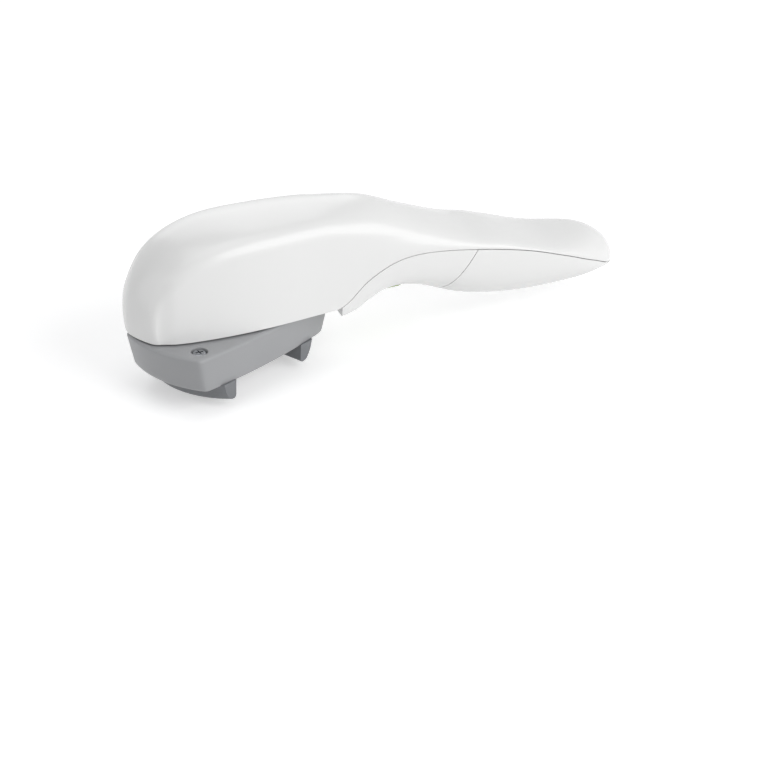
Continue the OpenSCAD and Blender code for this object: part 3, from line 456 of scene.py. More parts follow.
def new_tree(name: str, inputs: dict[str, str]) -> tuple[Tree, Any]:
    """Start a tree of geometry nodes.

    Args:
        name: Name of the tree.
        inputs: Kind of socket of each named input.

    Returns:
        The tree, and the sockets that give its inputs, by name.
    """
    tree = bpy.data.node_groups.new(name, "GeometryNodeTree")
    for label, kind in inputs.items():
        tree.interface.new_socket(label, in_out="INPUT", socket_type="NodeSocket" + kind)
    tree.interface.new_socket("Geometry", in_out="OUTPUT", socket_type="NodeSocketGeometry")
    return tree, add_node(tree, "NodeGroupInput").outputs


def hang_tree(thing: Thing, tree: Tree, values: dict[str, Any]) -> None:
    """Put a tree on an object, its inputs set by their identifiers.

    Args:
        thing: Object that takes the tree as a modifier.
        tree: Tree of geometry nodes.
        values: Value of each input by its name.
    """
    modifier = thing.modifiers.new(tree.name, "NODES")
    modifier.node_group = tree
    for item in tree.interface.items_tree:
        if item.in_out == "INPUT" and item.name in values:
            modifier[item.identifier] = values[item.name]


def grid_shell(name: str, outer: list[Row], inner: list[Row],
               poles: Sequence[Point] = (), rim_mm: float = 0.35) -> Mesh:
    """Closed shell between an outer and an inner grid, its rims rounded off.

    Args:
        name: Name of the mesh.
        outer: Rows of points on the outside, in millimetres.
        inner: As many rows on the inside.
        poles: Outer and inner point that close the last row, or none.
        rim_mm: Width of the rounding along the rims.

    Returns:
        The mesh in metres.
    """
    n, v = len(outer), len(outer[0])
    points = [p for row in outer for p in row] + [p for row in inner for p in row]
    points += list(poles)
    inside, last = n * v, (n - 1) * v
    faces: Faces = []
    rims: Faces = []
    for i in range(n - 1):
        for j in range(v - 1):
            a, b = i * v + j, (i + 1) * v + j
            faces.append([a, b, b + 1, a + 1])
            faces.append([inside + a + 1, inside + b + 1, inside + b, inside + a])
        a, b = i * v, (i + 1) * v
        rims.append([b, a, inside + a, inside + b])
        rims.append([a + v - 1, b + v - 1, inside + b + v - 1, inside + a + v - 1])
    for j in range(v - 1):
        rims.append([j, j + 1, inside + j + 1, inside + j])
    if poles:
        tip, tip_in = 2 * n * v, 2 * n * v + 1
        for j in range(v - 1):
            faces.append([last + j, tip, last + j + 1])
            faces.append([inside + last + j + 1, tip_in, inside + last + j])
        rims.append([tip, last, inside + last, tip_in])
        rims.append([last + v - 1, tip, tip_in, inside + last + v - 1])
    else:
        for j in range(v - 1):
            rims.append([last + j + 1, last + j, inside + last + j, inside + last + j + 1])
    mesh = scaled_mesh(name, points, faces + rims)
    work = bmesh.new()
    work.from_mesh(mesh)
    work.verts.ensure_lookup_table()
    weight = work.edges.layers.float.new("bevel_weight_edge")
    is_outer = [k < inside or k == 2 * inside for k in range(len(points))]
    for edge in work.edges:
        a, b = (vert.index for vert in edge.verts)
        if is_outer[a] and is_outer[b] and len(edge.link_faces) == 2:
            sides = [all(is_outer[vert.index] for vert in f.verts) for f in edge.link_faces]
            if sides[0] != sides[1]:
                edge[weight] = 1.0
    work.to_mesh(mesh)
    work.free()
    holder = bpy.data.objects.new(name, mesh)
    bpy.context.scene.collection.objects.link(holder)
    bevel = holder.modifiers.new("rim", "BEVEL")
    bevel.limit_method, bevel.width, bevel.segments = "WEIGHT", rim_mm * MM, 3
    bevel.harden_normals = True
    result = baked(holder).data
    bpy.data.objects.remove(holder)
    return result


def lathe(profile: Sequence[Flat], segments: int = 64,
          place: Matrix | None = None) -> Shape:
    """Turn a profile of radius and height about Z.

    Args:
        profile: Radius and height pairs from the bottom up; a radius of 0 is a pole.
        segments: Points round the axis.
        place: Where the turned shape goes, or nothing for the origin.

    Returns:
        Points in millimetres, and faces.
    """
    points: list[Vector] = []
    faces: Faces = []
    rings: Faces = []
    for radius, height in profile:
        start = len(points)
        count = 1 if radius == 0 else segments
        for k in range(count):
            a = 2 * math.pi * k / segments
            points.append(Vector((radius * math.cos(a), radius * math.sin(a), height)))
        rings.append([start + k % count for k in range(segments)])
    for low, high in zip(rings, rings[1:]):
        for k in range(segments):
            m = (k + 1) % segments
            face = list(dict.fromkeys([low[k], low[m], high[m], high[k]]))
            if len(face) > 2:
                faces.append(face)
    if place is not None:
        points = [place @ p for p in points]
    return points, faces


def joined(parts: Sequence[Shape]) -> Shape:
    """Put several point and face lists into one.

    Args:
        parts: Shapes with points and faces of their own.

    Returns:
        One list of points, and one of faces.
    """
    points: list[Any] = []
    faces: Faces = []
    for some_points, some_faces in parts:
        base = len(points)
        points += list(some_points)
        faces += [[base + k for k in face] for face in some_faces]
    return points, faces


def smooth_by_angle(mesh: Mesh, degrees: float = 32.0) -> Mesh:
    """Smooth shading with the edges over the given angle kept sharp.

    Args:
        mesh: Mesh that is shaded.
        degrees: Angle over which an edge stays sharp.

    Returns:
        The same mesh.
    """
    mesh.shade_smooth()
    mesh.set_sharp_from_angle(angle=math.radians(degrees))
    return mesh


def stadium(length: float, width: float, per_end: int = 24) -> list[Flat]:
    """Outline of a slab with round ends, counter-clockwise, in millimetres.

    Args:
        length: Whole length.
        width: Width, which is the diameter of its ends too.
        per_end: Steps round each end.

    Returns:
        The points of the outline.
    """
    half, r = (length - width) / 2, width / 2
    outline = []
    for k in range(per_end + 1):
        a = math.radians(-90 + 180 * k / per_end)
        outline.append((half + r * math.cos(a), r * math.sin(a)))
    return outline + [(-x, -y) for x, y in outline]


def prism(outline: Sequence[Flat], low: float, high: float) -> Shape:
    """Upright prism on an outline, closed at both ends.

    Args:
        outline: Points of the outline, counter-clockwise.
        low: Height of its foot.
        high: Height of its top.

    Returns:
        Points and faces.
    """
    n = len(outline)
    points = [(x, y, low) for x, y in outline] + [(x, y, high) for x, y in outline]
    faces = [[k, (k + 1) % n, n + (k + 1) % n, n + k] for k in range(n)]
    return points, faces + [list(range(n))[::-1], list(range(n, 2 * n))]


@dataclass
class Mouldings:
    """The white shells: upper housing, lower handle shell and battery cover."""

    nose_reach: float = 42.0
    crown_z: float = 50.3
    head_width: float = 36.8
    wall: float = 1.9
    nose_depth: float = 4.4
    tail_reach: float = 160.2
    grip_width: float = 34.4
    shoulder_z: float = 47.7
    dip_z: float = 31.7
    swell_z: float = 28.5
    saddle_z: float = 20.7
    tail_z: float = 18.7
    lip_z: float = 8.9
    hollow_z: float = 14.9
    belly_z: float = 0.1
    seam_gap: float = 0.3
    rim_z: float = 14.1
    sweep_radius: float = 39.4
    lip_clear: float = 0.8
    crown_x: float = 3.0
    nose_bow: float = 2.6
    nose_round: float = 2.4
    crown_drop: float = 2.6
    crown_power: float = 2.2
    nose_power: float = 1.6
    side_lean: float = 0.9
    corner_reach: float = 2.5
    head_edge: float = 5.0
    nose_edge: float = 2.0
    tail_round: float = 24.0
    tail_fall: float = 15.0
    cover_length: float = 68.0
    saddle_back: float = 33.0
    tail_power: float = 2.2
    grip_start_x: float = 28.0
    grip_full_x: float = 78.0
    grip_power: float = 2.3
    seam_lean: float = 0.7
    lean_start: float = 56.0
    lean_fade: float = 46.0
    lip_blend: float = 14.0
    trigger_x: float = 62.0
    trigger_opening: Flat = (20.5, 13.5)
    screw_place: Flat = (76.6, 0.0)
    joint_z: float = 22.05
    boss_r: float = 3.0
    boss_bore_r: float = 2.2
    boss_shank_r: float = 1.0
    boss_seat: float = 3.0
    boss_foot_z: float = 11.0
    column_r: float = 2.5
    column_edge: float = 0.3
    pilot_r: float = 0.9
    columns: tuple[tuple[float, float, float, float], ...] = (
        (-24, 0, 16.6, 23.1), (33, 12, 16.6, 23.1), (33, -12, 16.6, 23.1),
        (70.8, 8, 30.3, 33.8), (70.8, -8, 30.3, 33.8), (76.6, 0, 22.1, 28.6))
    stops: tuple[Flat, ...] = ((102.2, 14.483), (131.2, 9.631))
    stop_r: float = 2.0
    stop_low: float = 6.15
    bay_slope: float = 9.5
    rows_nose: int = 44
    rows_body: int = 130
    rows_tail: int = 26
    side_points: int = 12
    fillet_points: int = 12
    band_points: int = 20
    lower_points: int = 30
    rows_shell: int = 54
    rows_cover: int = 44
    root_power: float = 1.15
    soft_share: Flat = (0.85, 0.4)
    keel_power: Flat = (3.6, 2.7)
    keel_change: Flat = (66.0, 30.0)
    lip_share: float = 0.9
    roof_fall: Flat = (0.21, 0.13)
    roof_change: Flat = (48.0, 30.0)
    roof_shift: float = 2.0
    roof_steps: int = 200
    width_line: Line = field(init=False)
    top_line: Line = field(init=False)
    part_line: Line = field(init=False)
    bottom_line: Line = field(init=False)
    tail_round_x: float = field(init=False)
    tail_top_x: float = field(init=False)
    seam_x: float = field(init=False)
    lip_radius: float = field(init=False)
    front_x: float = field(init=False)

    def __post_init__(self) -> None:
        """Set the lines seen in plan and from the side."""
        head, grip, rim = self.head_width / 2, self.grip_width / 2, self.rim_z
        end = self.tail_reach
        self.tail_round_x, self.tail_top_x = end - self.tail_round, end - self.tail_fall
        self.seam_x, saddle_x = end - self.cover_length, end - self.saddle_back
        self.width_line = Line((
            (-35, head - 5.6), (-28, head - 3), (-18, head - 1.2), (-4, head - 0.1),
            (10, head - 0.2), (30, head - 1.5), (48, grip - 0.8), (72, grip - 0.4),
            (end - 60, grip), (end - 36, grip - 0.3), (self.tail_round_x, grip - 1.2),
            (end, grip - 2.6)))
        self.top_line = Line((
            (self.crown_x, self.crown_z), (28, lerp(self.crown_z, self.shoulder_z, 0.17)),
            (53, self.shoulder_z), (72, lerp(self.shoulder_z, self.dip_z, 0.48)),
            (self.seam_x, self.dip_z), (end - 56, self.swell_z), (saddle_x, self.saddle_z),
            (self.tail_top_x, self.tail_z), (end, self.tail_z - 2)))
        self.part_line = Line((
            (33, rim), (39, rim + 2), (47, rim + 8.6), (59, rim + 14), (71, rim + 15),
            (self.seam_x, rim + 12.2), (end - 46, rim + 7.2), (end - 28, rim + 1),
            (self.tail_top_x, rim - 4.2), (end, rim - 10)))
        self.bottom_line = Line((
            (38, self.lip_z), (44, self.lip_z + 0.6), (54, self.hollow_z - 0.8),
            (62, self.hollow_z), (70, self.hollow_z - 1.8), (end - 73, self.belly_z + 5.6),
            (end - 61, self.belly_z + 2.5), (end - 48, self.belly_z + 0.6),
            (end - 34, self.belly_z), (end - 20, self.belly_z + 0.6),
            (self.tail_top_x + 6, self.belly_z + 2), (end, self.belly_z + 3.2)))
        self.lip_radius = self.sweep_radius + self.lip_clear
        guess = self.arc_x(self.half_width(38), 0)
        self.front_x = self.arc_x(self.half_width(guess), 0)

    def tail_factor(self, x: float, start: float, reach: float) -> float:
        """Share that rounds a size off towards the tail."""
        share = clamp((x - start) / (reach - start))
        return max(0.0, 1 - share ** self.tail_power) ** (1 / self.tail_power)

    def half_width(self, x: float, inset: float = 0.0) -> float:
        """Half the width in plan at x, less the inset."""
        return (self.width_line.at(x) - inset) * self.tail_factor(
            x, self.tail_round_x, self.tail_reach - inset)

    def part_z(self, x: float) -> float:
        """Height of the parting line at x."""
        return self.part_line.at(x)

    def top_z(self, x: float, inset: float) -> float:
        """Height of the ridge of the upper housing at x.

        Args:
            x: Place along the opener.
            inset: Distance inside the outer face.

        Returns:
            The height.
        """
        low = self.part_z(x)
        return low + (self.top_line.at(x) - inset - low) * self.tail_factor(
            x, self.tail_top_x, self.tail_reach - inset)

    def low_z(self, x: float, inset: float) -> float:
        """Height of the keel of the lower mouldings at x.

        Args:
            x: Place along the opener.
            inset: Distance inside the outer face.

        Returns:
            The height.
        """
        high = self.part_z(x) - self.seam_gap
        return high - (high - self.bottom_line.at(x) - inset) * self.tail_factor(
            x, self.tail_top_x, self.tail_reach - inset)

    def arc_x(self, y: float, inset: float) -> float:
        """X of the arc that clears the turning jaws, at y."""
        return math.sqrt((self.lip_radius + inset) ** 2 - y * y)

    def spine(self, u: float, inset: float) -> Flat:
        """Point of the nose's profile in the middle plane, from tip to crown.

        Args:
            u: Share of the way from tip to crown.
            inset: Distance inside the outer face.

        Returns:
            Its X and Z.
        """
        c = math.cos(math.radians(90 * u)) ** (2 / self.nose_round)
        s = math.sin(math.radians(90 * u)) ** (2 / self.nose_round)
        long = self.crown_x + self.nose_reach - inset
        tall = self.crown_z - self.rim_z - inset
        return self.crown_x - long * c + self.nose_bow * (1 - s) ** 2, self.rim_z + tall * s

    def spine_normal(self, u: float) -> Flat:
        """Outward direction of the nose's profile.

        Args:
            u: Share of the way from tip to crown.

        Returns:
            X and Z of the unit direction.
        """
        if u <= 0:
            return -1.0, 0.0
        if u >= 1:
            return 0.0, 1.0
        a, b = self.spine(max(0.0, u - 0.01), 0), self.spine(min(1.0, u + 0.01), 0)
        dx, dz = b[0] - a[0], b[1] - a[1]
        size = math.hypot(dx, dz)
        return -dz / size, dx / size

    def side_y(self, p: Flat, inset: float) -> float:
        """Half width of the leaning side at a point of the side view."""
        return self.half_width(p[0], inset) - self.side_lean * (p[1] - self.rim_z) / (
            self.crown_z - self.rim_z)

    def half_rib(self, root: Flat, edge: Flat, spine: Flat, power: float, radius: float,
                 inset: float) -> Row:
        """One half of a rib of the head, from the rim over the soft edge to the middle.

        Args:
            root: Where the rib starts at the rim, in the side view.
            edge: Where side and crown would meet.
            spine: Where it reaches the middle.
            power: Power of the crowned band.
            radius: Size of the soft edge.
            inset: Distance inside the outer face.

        Returns:
            The points of the half rib.
        """
        size = max(0.01, math.dist(root, edge))
        cut = min(self.soft_share[0], radius / size)
        top = (edge[0] - (edge[0] - root[0]) * cut, edge[1] - (edge[1] - root[1]) * cut)
        w = self.side_y(edge, inset)
        back = min(self.soft_share[1], radius / w)

        def band(b: float) -> Point:
            """Point of the crowned band at the share b of the half width."""
            rise = 1 - (1 - b) ** power
            return (lerp(edge[0], spine[0], rise), w * (1 - b), lerp(edge[1], spine[1], rise))

        start = (top[0], self.side_y(top, inset), top[1])
        corner, end = (edge[0], w, edge[1]), band(back)
        row = []
        for i in range(self.side_points):
            t = i / self.side_points
            p = (lerp(root[0], top[0], t), lerp(root[1], top[1], t))
            row.append((p[0], self.side_y(p, inset), p[1]))
        for i in range(self.fillet_points + 1):
            t = i / self.fillet_points
            row.append(mix_points(mix_points(start, corner, t), mix_points(corner, end, t), t))
        for i in range(1, self.band_points + 1):
            row.append(band(lerp(back, 1.0, i / self.band_points)))
        return row

    def arch_rib(self, x: float, inset: float) -> Row:
        """Half of a round rib of the grip.

        Args:
            x: Place along the opener.
            inset: Distance inside the outer face.

        Returns:
            The points of the half rib.
        """
        n = self.side_points + self.fillet_points + self.band_points
        w, low, top = self.half_width(x, inset), self.part_z(x), self.top_z(x, inset)
        share = 2 / self.grip_power
        turns = [math.radians(90 * i / n) for i in range(n + 1)]
        return [(x, w * max(0.0, math.cos(a)) ** share, low + (top - low) * math.sin(a) ** share)
                for a in turns]

    @staticmethod
    def mirrored(half: Row) -> Row:
        """Whole rib from its half."""
        return half + [(x, -y, z) for x, y, z in half[-2::-1]]

    def nose_rib(self, u: float, inset: float) -> Row:
        """Rib of the nose at the share u from its tip to the crown.

        Args:
            u: Share of the way from tip to crown.
            inset: Distance inside the outer face.

        Returns:
            The points of the whole rib.
        """
        spine, normal = self.spine(u, inset), self.spine_normal(u)
        reach = lerp(self.nose_depth, self.crown_drop, u * u)
        edge = (spine[0] - normal[0] * reach, spine[1] - normal[1] * reach)
        first = self.spine(0, inset)[0] + self.nose_depth + self.corner_reach
        root = (lerp(first, self.crown_x, u ** self.root_power), self.rim_z)
        power = lerp(self.nose_power, self.crown_power, math.sin(math.radians(90 * u)))
        return self.mirrored(self.half_rib(
            root, edge, spine, power, lerp(self.nose_edge, self.head_edge, u), inset))

    def body_rib(self, x: float, inset: float) -> Row:
        """Rib of head or grip at x.

        Args:
            x: Place along the opener.
            inset: Distance inside the outer face.

        Returns:
            The points of the whole rib.
        """
        arch = self.arch_rib(x, inset)
        t = ease((x - self.grip_start_x) / (self.grip_full_x - self.grip_start_x))
        if t >= 1:
            return self.mirrored(arch)
        top = self.top_z(x, inset)
        box = self.half_rib((x, self.part_z(x)), (x, top - self.crown_drop), (x, top),
                            self.crown_power, self.head_edge, inset)
        return self.mirrored([mix_points(p, q, t) for p, q in zip(box, arch)])

    def tail_xs(self, inset: float) -> list[float]:
        """Places of the last ribs, closer together towards the tail.

        Args:
            inset: Distance inside the outer face.

        Returns:
            The places on X.
        """
        reach = self.tail_reach - inset
        turns = [math.radians(90 * i / (self.rows_tail + 1)) for i in range(self.rows_tail + 1)]
        return [lerp(self.tail_round_x, reach, math.sin(a)) for a in turns]

    def upper_rows(self, inset: float) -> list[Row]:
        """All ribs of the upper housing.

        Args:
            inset: Distance inside the outer face.

        Returns:
            The ribs, from nose to tail.
        """
        rows = [self.nose_rib(i / self.rows_nose, inset) for i in range(self.rows_nose)]
        rows += [self.body_rib(lerp(self.crown_x, self.tail_round_x, i / self.rows_body), inset)
                 for i in range(self.rows_body)]
        return rows + [self.body_rib(x, inset) for x in self.tail_xs(inset)]

    def lean_at(self, x: float) -> float:
        """How far the ribs of the lower mouldings lean at x."""
        return (self.seam_lean * ease((x - self.lean_start) / (self.seam_x - self.lean_start))
                * (1 - ease((x - self.seam_x) / self.lean_fade)))

    def foot_x(self, x: float, lean: float, high: float, inset: float) -> float:
        """Where a leaning rib that starts at x meets the keel.

        Args:
            x: Where the rib starts.
            lean: How far it leans.
            high: Height of its start.
            inset: Distance inside the outer face.

        Returns:
            The place on X.
        """
        foot = x
        for _ in range(6):
            foot = x - lean * (high - self.low_z(foot, inset))
        return foot

    def lower_rib(self, x: float, inset: float, lip: float = 0.0) -> Row:
        """Rib that hangs from the parting line at x.

        Args:
            x: Place of its ends on the parting line.
            inset: Distance inside the outer face.
            lip: Share by which it follows the sweep of the jaws.

        Returns:
            The points of the whole rib.
        """
        high, lean = self.part_z(x) - self.seam_gap, self.lean_at(x)
        low = self.low_z(self.foot_x(x, lean, high, inset), inset)
        w = self.half_width(x, inset)
        power = lerp(*self.keel_power, ease((x - self.keel_change[0]) / self.keel_change[1]))
        row = []
        for i in range(2 * self.lower_points + 1):
            a = math.pi * i / (2 * self.lower_points)
            c, s = math.cos(a), max(0.0, math.sin(a))
            size = (abs(c) ** power + s ** power) ** (1 / power)
            y, z = -w * c / size, high - (high - low) * s / size
            shift = lip * (self.arc_x(y, inset) - self.arc_x(w, inset))
            row.append((x - lean * (high - z) + shift, y, z))
        return row

    def lower_rows(self, inset: float) -> list[Row]:
        """All ribs of the lower handle shell.

        Args:
            inset: Distance inside the outer face.

        Returns:
            The ribs, from front to back.
        """
        w, n = self.lip_share * self.half_width(self.front_x, inset), 2 * self.lower_points
        ys = [w * (2 * i / n - 1) for i in range(n + 1)]
        edge = [(self.arc_x(y, inset), y, self.part_z(self.front_x) - self.seam_gap) for y in ys]
        first = self.arc_x(self.half_width(self.front_x, inset), inset)
        rows = [edge, self.lower_rib(first, inset, 1.0)]
        end = self.seam_x - self.seam_gap / 2
        for i in range(1, self.rows_shell + 1):
            x = lerp(first, end, i / self.rows_shell)
            rows.append(self.lower_rib(x, inset, 1 - ease((x - self.front_x) / self.lip_blend)))
        return rows

    def cover_rows(self, inset: float) -> list[Row]:
        """All ribs of the battery cover.

        Args:
            inset: Distance inside the outer face.

        Returns:
            The ribs, from front to back.
        """
        start, steps = self.seam_x + self.seam_gap / 2, self.rows_cover
        xs = [lerp(start, self.tail_round_x, i / steps) for i in range(steps)]
        return [self.lower_rib(x, inset) for x in xs + self.tail_xs(inset)]

    def poles(self, drop: float) -> list[Point]:
        """Outer and inner end point of a shell at the tail."""
        ends = (self.tail_reach, self.tail_reach - self.wall)
        return [(x, 0.0, self.part_z(x) - drop) for x in ends]

    def roof_z(self, x: float, y: float) -> float:
        """Height in the middle of the upper housing's wall, over a place in plan.

        Args:
            x: Place along the opener.
            y: Place across it.

        Returns:
            The height.
        """
        if x < self.crown_x:
            line = [self.spine(k / self.roof_steps, 0) for k in range(self.roof_steps + 1)]
            return min(line, key=lambda p: abs(p[0] - x + self.roof_shift))[1] - self.wall / 2
        lean = lerp(*self.roof_fall, ease((x - self.roof_change[0]) / self.roof_change[1]))
        return self.top_line.at(x) - self.wall / 2 - lean * abs(y)

    def build_columns(self) -> None:
        """Screw columns and tray stops that hang from the ceiling of the upper housing."""
        edge, r, bore = self.column_edge, self.column_r, self.pilot_r
        parts = []
        for x, y, low, hole in self.columns:
            roof = self.roof_z(x, y)
            profile = [(0, hole), (bore, hole), (bore, low + edge), (bore + edge, low),
                       (r - edge, low), (r, low + edge), (r, roof), (0, roof)]
            points, faces = lathe(profile, 40, Matrix.Translation((x, y, 0)))
            for p in points:
                if p.z > roof - edge:
                    p.z = self.roof_z(p.x, p.y)
            parts.append((points, faces))
        lean = math.radians(self.bay_slope)
        for x, z in self.stops:
            low, r = self.stop_low, self.stop_r
            roof = (self.roof_z(x, 0) - z) * math.cos(lean)
            profile = [(0, low), (r - edge, low), (r, low + edge), (r, roof), (0, roof)]
            place = Matrix.Translation((x, 0, z)) @ Matrix.Rotation(lean, 4, "Y")
            parts.append(lathe(profile, 40, place))
        mesh = smooth_by_angle(scaled_mesh("housing_columns", *joined(parts)))
        settle(new_object("housing_columns", mesh, WHITE_ABS), "housing")

    def build_upper(self) -> None:
        """Upper housing in glossy white, in place of its solid."""
        mesh = grid_shell("upper_shell", self.upper_rows(0), self.upper_rows(self.wall),
                          self.poles(0))
        settle(new_object("upper_shell", mesh, WHITE_ABS), "housing", "upper_housing")

    def build_lower(self) -> None:
        """Lower handle shell with the openings for the trigger and its screw."""
        mesh = grid_shell("handle_shell", self.lower_rows(0), self.lower_rows(self.wall))
        piece = new_object("handle_shell", mesh, WHITE_ABS)
        slot = [(self.trigger_x + x, y) for x, y in stadium(*self.trigger_opening)]
        bore, high = self.boss_bore_r, self.joint_z
        place = Matrix.Translation((*self.screw_place, 0))
        hole = lathe([(0, 0), (bore, 0), (bore, high + 2), (0, high + 2)], 32, place)
        cut_out(piece, joined([prism(slot, 0, high), hole]))
        smooth_by_angle(piece.data, 38)
        settle(piece, "housing", "lower_handle_shell")
        foot, seat = self.low_z(self.screw_place[0], self.wall) - 0.3, high - self.boss_seat
        boss = lathe([(bore, foot), (self.boss_r, self.boss_foot_z), (self.boss_r, high),
                      (self.boss_shank_r, high), (self.boss_shank_r, seat), (bore, seat),
                      (bore, foot)], 40, place)
        mesh = smooth_by_angle(scaled_mesh("handle_boss", *boss))
        settle(new_object("handle_boss", mesh, WHITE_ABS), "housing")

    def build_cover(self) -> None:
        """Battery cover in glossy white, in place of its solid."""
        mesh = grid_shell("cover_shell", self.cover_rows(0), self.cover_rows(self.wall),
                          self.poles(self.seam_gap))
        settle(new_object("cover_shell", mesh, WHITE_ABS), "battery_cover",
               "battery_cover")

    def build(self) -> None:
        """All three shells."""
        self.build_upper()
        self.build_columns()
        self.build_lower()
        self.build_cover()


@dataclass
class Screws:
    """Pan head screws with a cross recess, set out by one node tree."""

    name: str
    places: tuple[Point, ...]
    finish: Finish
    slot: str
    body: str
    node: str
    head_d: float = 4.0
    head_t: float = 1.0
    straight_share: float = 0.7
    recess_share: float = 0.11
    draft: float = 0.97
    dome: tuple[Flat, ...] = ((0.16, 0.93), (0.1, 0.9), (0.05, 0.85))
    recess_reach: float = 1.15
    recess_rise: float = 1.2

    def head(self, tree: Tree, given: Any) -> Socket:
        """Head with a domed top, its faces closed.

        Args:
            tree: Tree that takes the nodes.
            given: Sockets of the tree's inputs.

        Returns:
            The head's mesh, standing on its own origin.
        """
        disc = add_node(tree, "GeometryNodeMeshCircle", {"fill_type": "NGON"}, {
            "Vertices": 48, "Radius": given["Head Radius"]}).outputs["Mesh"]
        parts, top = disc, True
        for share, shrink in ((1.0, self.draft), *self.dome):
            lift = add_node(tree, "ShaderNodeMath", {"operation": "MULTIPLY"}, {
                0: given["Head Height"], 1: share})
            step = add_node(tree, "GeometryNodeExtrudeMesh", {"mode": "FACES"}, {
                "Mesh": parts, "Selection": top, "Offset Scale": lift.outputs[0]})
            top = step.outputs["Top"]
            parts = add_node(tree, "GeometryNodeScaleElements", {"domain": "FACE"}, {
                "Geometry": step.outputs["Mesh"], "Selection": top,
                "Scale": shrink}).outputs["Geometry"]
        flip = add_node(tree, "GeometryNodeFlipFaces", {}, {"Mesh": disc})
        closed = add_node(tree, "GeometryNodeJoinGeometry")
        tree.links.new(parts, closed.inputs[0])
        tree.links.new(flip.outputs[0], closed.inputs[0])
        return add_node(tree, "GeometryNodeMergeByDistance", {}, {
            "Geometry": closed.outputs[0], "Distance": 1e-6}).outputs["Geometry"]

    def tree(self) -> Tree:
        """Node tree that puts a screw head on each point of the mesh.

        Returns:
            The tree.
        """
        tree, given = new_tree(self.name, {
            "Geometry": "Geometry", "Head Radius": "Float", "Head Height": "Float",
            "Recess Width": "Float", "Finish": "Material"})
        cut = self.head(tree, given)
        long = add_node(tree, "ShaderNodeMath", {"operation": "MULTIPLY"}, {
            0: given["Head Radius"], 1: self.recess_reach}).outputs[0]
        rise = add_node(tree, "ShaderNodeMath", {"operation": "MULTIPLY"}, {
            0: given["Head Height"], 1: self.recess_rise})
        lifted = add_node(tree, "ShaderNodeCombineXYZ", {}, {"Z": rise.outputs[0]})
        for x, y in ((long, given["Recess Width"]), (given["Recess Width"], long)):
            size = add_node(tree, "ShaderNodeCombineXYZ", {}, {
                "X": x, "Y": y, "Z": given["Head Height"]})
            bar = add_node(tree, "GeometryNodeMeshCube", {}, {"Size": size.outputs[0]})
            moved = add_node(tree, "GeometryNodeTransform", {}, {
                "Geometry": bar.outputs["Mesh"], "Translation": lifted.outputs[0]})
            cut = add_node(tree, "GeometryNodeMeshBoolean", {
                "operation": "DIFFERENCE", "solver": "EXACT"}, {
                "Mesh 1": cut, "Mesh 2": moved.outputs[0]}).outputs["Mesh"]
        spread = add_node(tree, "GeometryNodeInstanceOnPoints", {}, {
            "Points": given["Geometry"], "Instance": cut})
        real = add_node(tree, "GeometryNodeRealizeInstances", {}, {
            "Geometry": spread.outputs[0]})
        dressed = add_node(tree, "GeometryNodeSetMaterial", {}, {
            "Geometry": real.outputs[0], "Material": given["Finish"]})
        add_node(tree, "NodeGroupOutput", {}, {"Geometry": dressed.outputs[0]})
        return tree

    def build(self) -> None:
        """Screw heads in place of the solid ones."""
        piece = new_object(self.name, scaled_mesh(self.name, self.places, []), self.finish)
        hang_tree(piece, self.tree(), {
            "Head Radius": self.head_d / 2 * MM, "Finish": self.finish.build(),
            "Head Height": self.head_t * self.straight_share * MM,
            "Recess Width": self.head_d * self.recess_share * MM})
        smooth_by_angle(baked(piece).data, 28)
        settle(piece, self.body, self.node)


